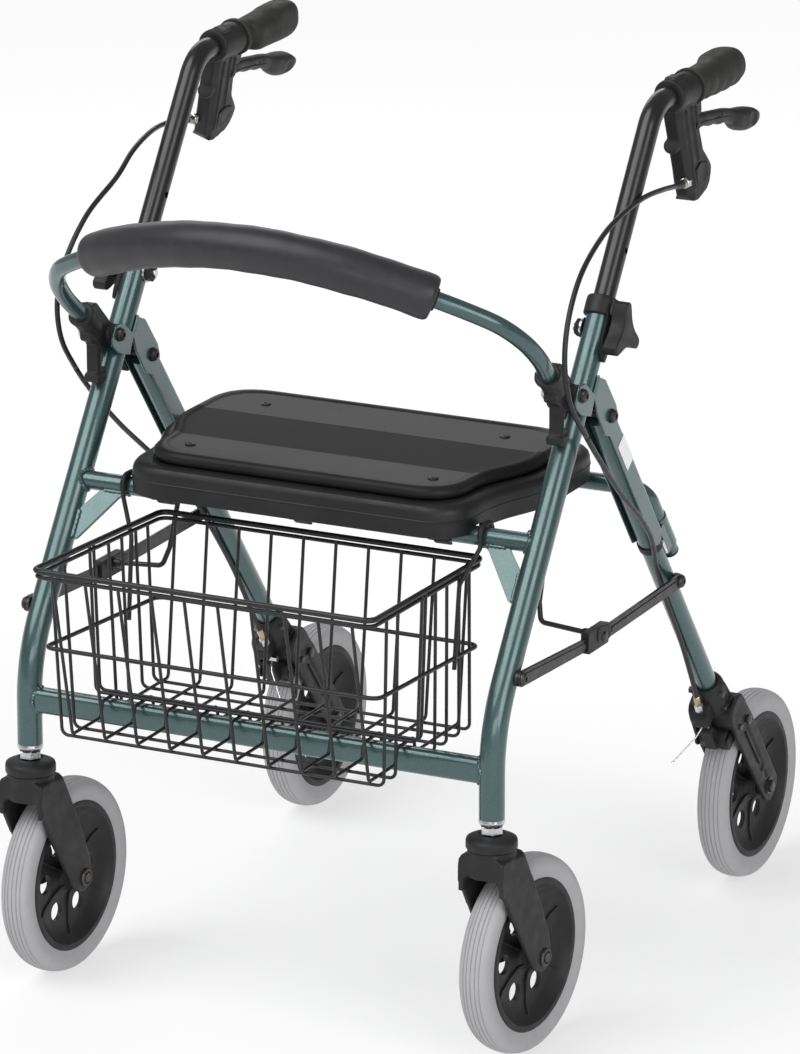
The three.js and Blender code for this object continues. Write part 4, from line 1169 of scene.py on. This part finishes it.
def build_back_brackets():
    strap = [(-238, 673, 4), (-224, 658, 5), (-224, 642, 5), (-211, 636, 4), (-210, 606, 3), (-214, 604, 2),
             (-212, 597, 3), (-205, 594, 3), (-195, 598, 3), (-193, 608, 3), (-203, 612, 3), (-204, 619, 2),
             (-197, 627, 4), (-182, 629, 4), (-174, 636, 5), (-174, 646, 5), (-182, 652, 5), (-190, 660, 6),
             (-210, 679, 4)]
    body = plate(rounded(strap, 4, 3), LEG_X - 6.4, LEG_X + 6.4)
    low, high = back_point(LEG_X + 1, -27), back_point(LEG_X + 1, 1)
    way = (high - low).normalized()
    length = (high - low).length
    socket = stepped(low, way, [(-4, 9), (0, 11.6), (length - 3, 12.4), (length - 2, 13.6),
                                (length + 1, 13.6), (length + 1.4, 12)], 36)
    ribs = [rod((LEG_X + 6.4 * s, -205.5, 634), (LEG_X + 6.4 * s, -207, 600), 1.5) for s in (1, -1)]
    foot = plate(rounded([(-214, 604), (-212, 596), (-205, 593.5), (-195, 597), (-195, 604)], 3),
                 LEG_X - 8.4, LEG_X + 8.4)
    hub = LEG @ LUG
    boss = bolt([(10.4, -12.9), (10.4, 12.9)], hub.y, hub.z, 36, face=LEG_X)
    pair("bracket_body", "backrest", PLASTIC, [body, socket, foot, boss, *ribs], ["backrest_bracket"],
         voxel=1.1, rounds=3)
    for label, side in SIDES:
        rivet = bolt([(7.4, 0), (7.6, 1.6), (6.6, 2.8), (3, 3.2)], -216, 650, 32, -side, LEG_X - 6 * side)
        piece(f"bracket_rivet_{label}", "backrest", STEEL, [rivet], side=side)


# ---- seat ----

SEAT_FRONT = -284
SEAT_REAR = -3
SEAT_LOW = 507
SEAT_DECK = 540
SEAT_TOP = 553
SEAT_FRONT_HALF = 187
SEAT_REAR_HALF = 213
PAD_INSET = 16


def curve(points, steps):
    """A Bezier curve of any degree, without its last point."""
    out = []
    for k in range(steps):
        t = k / steps
        left = [Vector(p) for p in points]
        while len(left) > 1:
            left = [a.lerp(b, t) for a, b in zip(left, left[1:])]
        out.append(tuple(left[0]))
    return out


def seat_outline(inset):
    """The seat from above: narrower in front, with an S-curve to the wider rear."""
    front, rear = SEAT_FRONT + inset, SEAT_REAR - inset
    narrow, wide, corner = SEAT_FRONT_HALF - inset, SEAT_REAR_HALF - inset, 48
    half = curve([(0, front), (narrow - corner, front)], 10)
    half += curve([(narrow - corner, front), (narrow, front), (narrow, front + corner)], 12)
    half += curve([(narrow, front + corner), (narrow, -175), (wide, -165), (wide, -115)], 16)
    half += curve([(wide, -115), (wide, rear - corner)], 6)
    half += curve([(wide, rear - corner), (wide, rear), (wide - corner, rear)], 12)
    half += curve([(wide - corner, rear), (0, rear)], 8)
    return half + [(0, rear)] + [(-x, y) for x, y in reversed(half[1:])]


def seat_rings(profile):
    return [[(x, y, z) for x, y in seat_outline(inset)] for inset, z in profile]


def build_seat():
    low, deck = SEAT_LOW, SEAT_DECK
    shell = skin(seat_rings([
        (26, deck - 5), (8, deck - 5.5), (4, deck - 9), (3, low), (0.8, low), (0, low + 1), (-0.2, 522.6),
        (-0.7, 523.2), (-0.7, 524), (-0.2, 524.6), (0, deck - 9), (0.9, deck - 5.2), (3.2, deck - 2),
        (6.6, deck - 0.4), (10, deck), (15, deck), (15.4, deck - 1.6), (17.5, deck - 1.6),
    ]))
    ribs = [block(x - 1.2, x + 1.2, -272, -12, low + 9, deck - 4) for x in (-150, -90, -30, 30, 90, 150)]
    ribs += [block(-178, 178, y - 1.2, y + 1.2, low + 9, deck - 4) for y in (-200, -140, -80)]
    slot = block(-230, 230, BAR_Y - BAR_R - 2, BAR_Y + BAR_R + 2, low - 5, BAR_Z + BAR_R + 1)
    piece("seat_tray", "seat", SEAT, [shell], ["seat_shell"], cutters=[slot], crease=28)
    piece("seat_ribs", "seat", SEAT, ribs, cutters=[slot])

    top = SEAT_TOP
    pad = skin(seat_rings([
        (PAD_INSET + 4, deck - 1), (PAD_INSET + 0.6, deck + 0.8), (PAD_INSET - 0.6, deck + 3),
        (PAD_INSET - 1, deck + 6), (PAD_INSET - 0.4, top - 4), (PAD_INSET + 1.4, top - 1.6),
        (PAD_INSET + 4, top - 0.3), (PAD_INSET + 7, top), (PAD_INSET + 9.4, top - 0.5),
        (PAD_INSET + 10.8, top - 1.5), (PAD_INSET + 13, top - 1.8), (PAD_INSET + 24, top - 1.6),
    ]))
    piece("pad_top", "seat", PAD, [pad], ["seat_pad"], crease=40)
    rivets = []
    for x in (134, -134):
        for y in (-67, -230):
            rivets.append(lathe([(5.2, top - 2.4), (5.4, top - 0.9), (4.6, top - 0.2), (2.4, top + 0.2),
                                 (1.6, top - 0.6), (1, top - 0.7)], at=(x, y, 0), sides=28))
    piece("seat_rivets", "seat", DARK_STEEL, rivets)

    clips = []
    for x in (-153, 0, 153):
        outer = arc(BAR_Y, BAR_Z, BAR_R + 3.4, 200, -20, 18)
        inner = arc(BAR_Y, BAR_Z, BAR_R + 0.5, -20, 200, 18)
        clips.append(plate(outer + inner, x - 13, x + 13))
        hanger = arc(BAR_Y, BAR_Z, BAR_R + 3.4, 200, 270, 8) + arc(BAR_Y, BAR_Z, BAR_R + 0.5, 270, 200, 8)
        clips.append(plate(hanger, x - 8, x + 8))
        clips.append(block(x - 11, x + 11, BAR_Y - 16, BAR_Y - 12.6, BAR_Z - 6, SEAT_DECK - 6))
    piece("seat_clips", "seat", PLASTIC, clips, bevel=0.5)


# ---- basket ----

BASKET_FLOOR = 304.2
FRONT_WALL = ((-464, 479), (-427, 304))
REAR_WALL = ((-209, 471), (-228, 304))


def on_wall(wall, z):
    (y0, z0), (y1, z1) = wall
    return y0 + (y1 - y0) * (z - z0) / (z1 - z0)


def basket_loop(z_front, z_rear, half_front, half_rear, radius=12):
    """A closed ring round the basket, with round corners."""
    front, rear = on_wall(FRONT_WALL, z_front), on_wall(REAR_WALL, z_rear)
    corners = rounded([(half_front, front), (half_rear, rear), (-half_rear, rear), (-half_front, front)],
                      radius, 6)
    return [(x, y, z_front + (z_rear - z_front) * (y - front) / (rear - front)) for x, y in corners]


def wire(corners, radius, bend):
    return sweep(route(corners, bend, 5), circle(radius, 14))


def build_basket():
    rings = [
        sweep(basket_loop(479, 471, 184, 178), circle(2.9, 16), loop=True),
        sweep(basket_loop(472.6, 465, 183.4, 177.4), circle(2.1, 14), loop=True),
        sweep(basket_loop(396, 384, 181.5, 178.5), circle(2.2, 14), loop=True),
    ]
    longways = []
    for i in range(10):
        x = 36 * (i - 4.5)
        longways.append(wire([
            (x, -463, 474), (x, -427.5, BASKET_FLOOR), (x, -370, BASKET_FLOOR), (x, -366, 320),
            (x, -330, 320), (x, -326, BASKET_FLOOR), (x, -229.5, BASKET_FLOOR), (x, -210.5, 467),
        ], 1.7, 5))
    across = []
    for y in (-423, -398, -312, -286, -258, -234):
        rise = 0.022 * (y + 464)
        top = 478 - 8 * (y + 464) / 255
        across.append(wire([(183 - rise, y - 6, top - 5), (176, y, 300.6), (-176, y, 300.6),
                            (rise - 183, y - 6, top - 5)],
                           1.7, 7))
    for y in (-352, -344):
        across.append(wire([(182, y, 473), (177, y, 323.4), (-177, y, 323.4), (-182, y, 473)], 1.7, 7))
    piece("basket_wires", "basket", COATING, [*rings, *longways, *across], ["basket"], crease=60)

    reach = BAR_R + 0.3 + 2.5 + 0.4
    hook = wire([
        (180, -277, 376), (181, -268, 460), (197, BAR_Y - reach, BAR_Z - 8),
        (197, BAR_Y - reach, BAR_Z + reach), (197, BAR_Y + reach, BAR_Z + reach),
        (197, BAR_Y + reach, BAR_Z - 10),
    ], 2.3, 9)
    tip = lathe([(1, -12.4), (2.3, -11.8), (2.6, -10.6), (2.6, -8)], at=(197, BAR_Y + reach, BAR_Z))
    pair("basket_hook", "basket", COATING, [hook, tip])
    sleeve = wire([
        (197, BAR_Y - reach, BAR_Z - 2), (197, BAR_Y - reach, BAR_Z + reach),
        (197, BAR_Y + reach, BAR_Z + reach), (197, BAR_Y + reach, BAR_Z - 2),
    ], 3.1, 9)
    pair("hook_sleeve", "basket", PLASTIC, [sleeve])


# ---- brace links and lift rods ----


def build_links():
    inner, outer = BRACE_X
    front_bar = plate(belt((*BRACE_FRONT, 8), (BRACE_MID[0] - 20, BRACE_MID[1], 6.5), 12), inner, outer)
    rolled = plate(belt((BRACE_FRONT[0], BRACE_FRONT[1] + 0.4, 4),
                        (BRACE_MID[0] - 30, BRACE_MID[1] + 0.4, 3), 8),
                   outer, outer + 0.9)
    pair("front_link_bar", "front_link", COATING, [front_bar, rolled], ["front_link"], bevel=0.5)
    box = [(-173, 374.5), (-173, 395.6), (-126, 395.6), (-126, 374.5)]
    clevis = plate(rounded(box, 2, 3), inner - 2.8, outer + 2.8)
    hollow = block(inner - 0.4, outer + 0.4, BRACE_MID[0] - 13, -110, 366, 392.6)
    ears = plate(rounded([(-152, 396), (-152, 380), (-122, 378), (-122, 392)], 5), inner - 3.6, outer + 3.6)
    pair("link_clevis", "front_link", PLASTIC, [clevis, ears], cutters=[hollow], bevel=0.8)
    rear_bar = plate(belt((*BRACE_REAR, 7.4), (*BRACE_MID, 7), 12), inner, outer)
    rolled = plate(belt((BRACE_REAR[0] - 14, BRACE_REAR[1], 3), (BRACE_MID[0] + 26, BRACE_MID[1], 3), 8),
                   outer, outer + 0.9)
    pair("rear_link_bar", "rear_link", COATING, [rear_bar, rolled], ["rear_link"], bevel=0.5)
    for name, (y, z), start in (("front_link", BRACE_FRONT, LEG_R), ("rear_link", BRACE_REAR, REAR_TUBE_R)):
        spacer = bolt([(7.6, LEG_X + start - 0.5), (8, LEG_X + start + 0.4), (8, inner - 0.2)], y, z, 28)
        head = bolt([(6.6, -0.2), (6.6, 1.4), (5.8, 3), (4, 4), (2.4, 4), (2.2, 2.4)], y, z, 28, face=outer)
        pair(f"{name}_rivet", name, DARK_STEEL, [spacer, head], crease=35)
    pin = bolt([(5, inner - 5), (5, inner - 3.2), (3.6, inner - 3), (3.6, outer + 3), (5.4, outer + 3.2),
                (5, outer + 4.8), (3, outer + 5.6)], *BRACE_MID, 28)
    pair("clevis_rivet", "front_link", DARK_STEEL, [pin], crease=35)


LIFT_EYE = (-148, 388)


def build_lift_rods():
    end = BRACE_X[0] - 3
    body = sweep(route([(188, -102, 514), (204, -102, 514), (207, -140, 410), (212, -147, 392),
                        (end, *LIFT_EYE)], 7, 7),
                 circle(2.6, 16))
    clip = sweep(route([(178, -102, 520), (188, -102, 514), (192, -102, 514)], 3, 4), circle(2.6, 16))
    boot = bolt([(4.2, -9), (4.8, -7), (4.8, -1), (4, 0)], *LIFT_EYE, 20, face=end)
    pair("lift_rod", "lift_rod", COATING, [body, clip, boot], ["lift_rod"])
    hanger = plate(rounded([(-114, 536), (-92, 536), (-94, 508), (-99, 505), (-107, 505), (-111, 508)], 4),
                   184, 190)
    pair("rod_hanger", "seat", PLASTIC, [hanger], bevel=0.8)


# ---- brake cables ----

CABLE_R = 2.7
CABLE_START = {
    1: [(262, 78, 793), (266, 50, 797), (270.5, 0, 804), (271, -40, 806), (270, -85, 801)],
    -1: [(292, 78, 800), (294, 50, 805), (289, 0, 810), (282, -40, 810), (275, -85, 803)],
}
CABLE_HIGH = [(268, -130, 788), (271, -190, 760), (275, -226, 722), (278, -238, 685), (280, -229, 645),
              (282, -196, 604)]
CABLE_LOW = [
    (282, -160, 568), (280, -110, 524), (278, -55, 482), (272, -15, 448), (262, 20, 408), (258, 50, 369),
    (256, 92, 315), (255, 119, 274), (254, 136, 247), (253, 149, 226),
]


def build_cables():
    steps = 10
    for label, side in SIDES:
        whole = spline(CABLE_START[side] + CABLE_HIGH + CABLE_LOW, steps)
        middle = steps * (len(CABLE_START[side]) + len(CABLE_HIGH) - 1)
        runs = (
            ("upper", whole[:middle + 1], (f"handle_{label}", "front_frame"), (0, 50), 0),
            ("lower", whole[middle:], ("front_frame", "rear_frame"), (12, 64), -1),
        )
        for part, path, bodies, (first, last), leaves in runs:
            name = f"brake_line_{part}_{label}"
            obj = add_object(name, mesh_of([sweep(path, circle(CABLE_R, 16))], side))
            obj.data.shade_smooth()
            obj.data.materials.append(JACKET[0])
            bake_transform(obj)
            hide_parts(f"brake_cable_{label}")


def build_cable_adjusters():
    """The nut, the brass barrel and the rubber boot where each cable leaves its brake."""
    for label, side in SIDES:
        start = Vector(CABLE_START[side][0])
        way = (Vector(CABLE_START[side][1]) - start).normalized()
        nut = stepped(start, way, [(-9, 4.8), (-8, 5.8), (-1, 5.8), (0, 4.8)], 6)
        collar = stepped(start, way, [(0, 5), (1, 5.2), (2.4, 5.2), (3, 4.4)], 24)
        barrel = stepped(start, way, [(3, 3.6), (3.6, 4.2), (11, 4.2), (11.6, 3.8)], 24)
        boot = stepped(start, way, [(11, 3.9), (12, 4.1), (18, 3.9), (30, 3.3), (34, 2.9)], 24)
        body = f"handle_{label}"
        piece(f"cable_nut_{label}", body, STEEL, [nut, collar], side=side, crease=25)
        piece(f"cable_barrel_{label}", body, BRASS, [barrel], side=side)
        piece(f"cable_boot_{label}", body, PLASTIC, [boot], side=side)


def build_frame_clip():
    ring = skin([[(x, y, z) for x, y in arc(0, 0, REAR_TUBE_R + 0.3, 25, 155,
                                            14) + arc(0, 0, 14, 155, 25, 14)]
                 for z in (400, 418)])
    jaws = skin([[(x, y, z) for x, y in arc(0, 20, 5, -200, 20, 14) + arc(0, 20, 7.2, 20, -200, 14)]
                 for z in (402, 416)])
    pair("frame_clip", "rear_frame", LABEL, on(REAR, ring, jaws), bevel=0.5)


# ---- camera, floor and light ----


AZIMUTH = math.radians(26.3)
ELEVATION = math.radians(16.92)
CAMERA_PLACE = (2860.6, -5819.9, 2394)
CAMERA_LENS = 299.5


def build_camera():
    look = Vector((-math.sin(AZIMUTH) * math.cos(ELEVATION), math.cos(AZIMUTH) * math.cos(ELEVATION),
                   -math.sin(ELEVATION)))
    data = bpy.data.cameras.new("camera")
    data.sensor_fit = "HORIZONTAL"
    data.sensor_width = 36
    data.lens = CAMERA_LENS
    data.clip_end = 60
    camera = add_object("camera", data)
    camera.location = to_frame(CAMERA_PLACE)
    camera.rotation_euler = look.to_track_quat("-Z", "Y").to_euler()
    bpy.context.scene.camera = camera


def add_light(name, kind, place, target, power, **settings):
    data = bpy.data.lights.new(name, kind)
    data.energy = power
    for key, value in settings.items():
        setattr(data, key, value)
    light = add_object(name, data)
    light.location = place
    light.rotation_euler = (Vector(target) - Vector(place)).to_track_quat("-Z", "Y").to_euler()


def build_studio():
    """A pale floor that glows a little, as on a light table, so that its shadows stay soft."""
    f = Finish("studio_floor", (0.42, 0.42, 0.42), 0.8, specular=0.05)
    f.tint(f.between(f.noise(1.2, 2), 0, 0.3), (0.405, 0.405, 0.408))
    f.shader.inputs["Emission Color"].default_value = (1, 1, 1, 1)
    f.shader.inputs["Emission Strength"].default_value = 0.56
    half = 30000
    sheet = ([(-half, -half, 0), (half, -half, 0), (half, half, 0), (-half, half, 0)], [(0, 1, 2, 3)])
    floor = add_object("studio_floor", mesh_of([sheet]))
    floor.data.materials.append(f.material)
    add_light("key_sky", "SUN", (-2, -3, 5), (0, 0, 0.4), 2.1, angle=math.radians(50))
    add_light("side_sky", "SUN", (4, -2.6, 2.6), (0, 0, 0.4), 1.1, angle=math.radians(35))
    add_light("front", "AREA", (1.6, -4.2, 1.5), (0, 0, 0.5), 26, shape="RECTANGLE", size=2.6, size_y=0.8)
    add_light("back", "AREA", (-1.8, 2.6, 2.2), (0, 0, 0.6), 16, shape="RECTANGLE", size=2.2, size_y=1.2)
    world = bpy.data.worlds.new("studio")
    world.use_nodes = True
    world.node_tree.nodes["Background"].inputs["Color"].default_value = (0.97, 0.98, 1, 1)
    world.node_tree.nodes["Background"].inputs["Strength"].default_value = 0.3
    bpy.context.scene.world = world
    bpy.context.scene.view_settings.view_transform = "Standard"


build_camera()
build_cables()
build_cable_adjusters()
build_front_frame()
build_hinge_brackets()
build_bolts()
build_collar_and_knob()
build_rear_frame()
build_rear_forks()
build_brakes()
build_wheels()
build_casters()
build_handle_tubes()
build_grips()
build_brake_housings()
build_levers()
build_backrest()
build_back_brackets()
build_seat()
build_basket()
build_links()
build_lift_rods()
build_frame_clip()
build_studio()
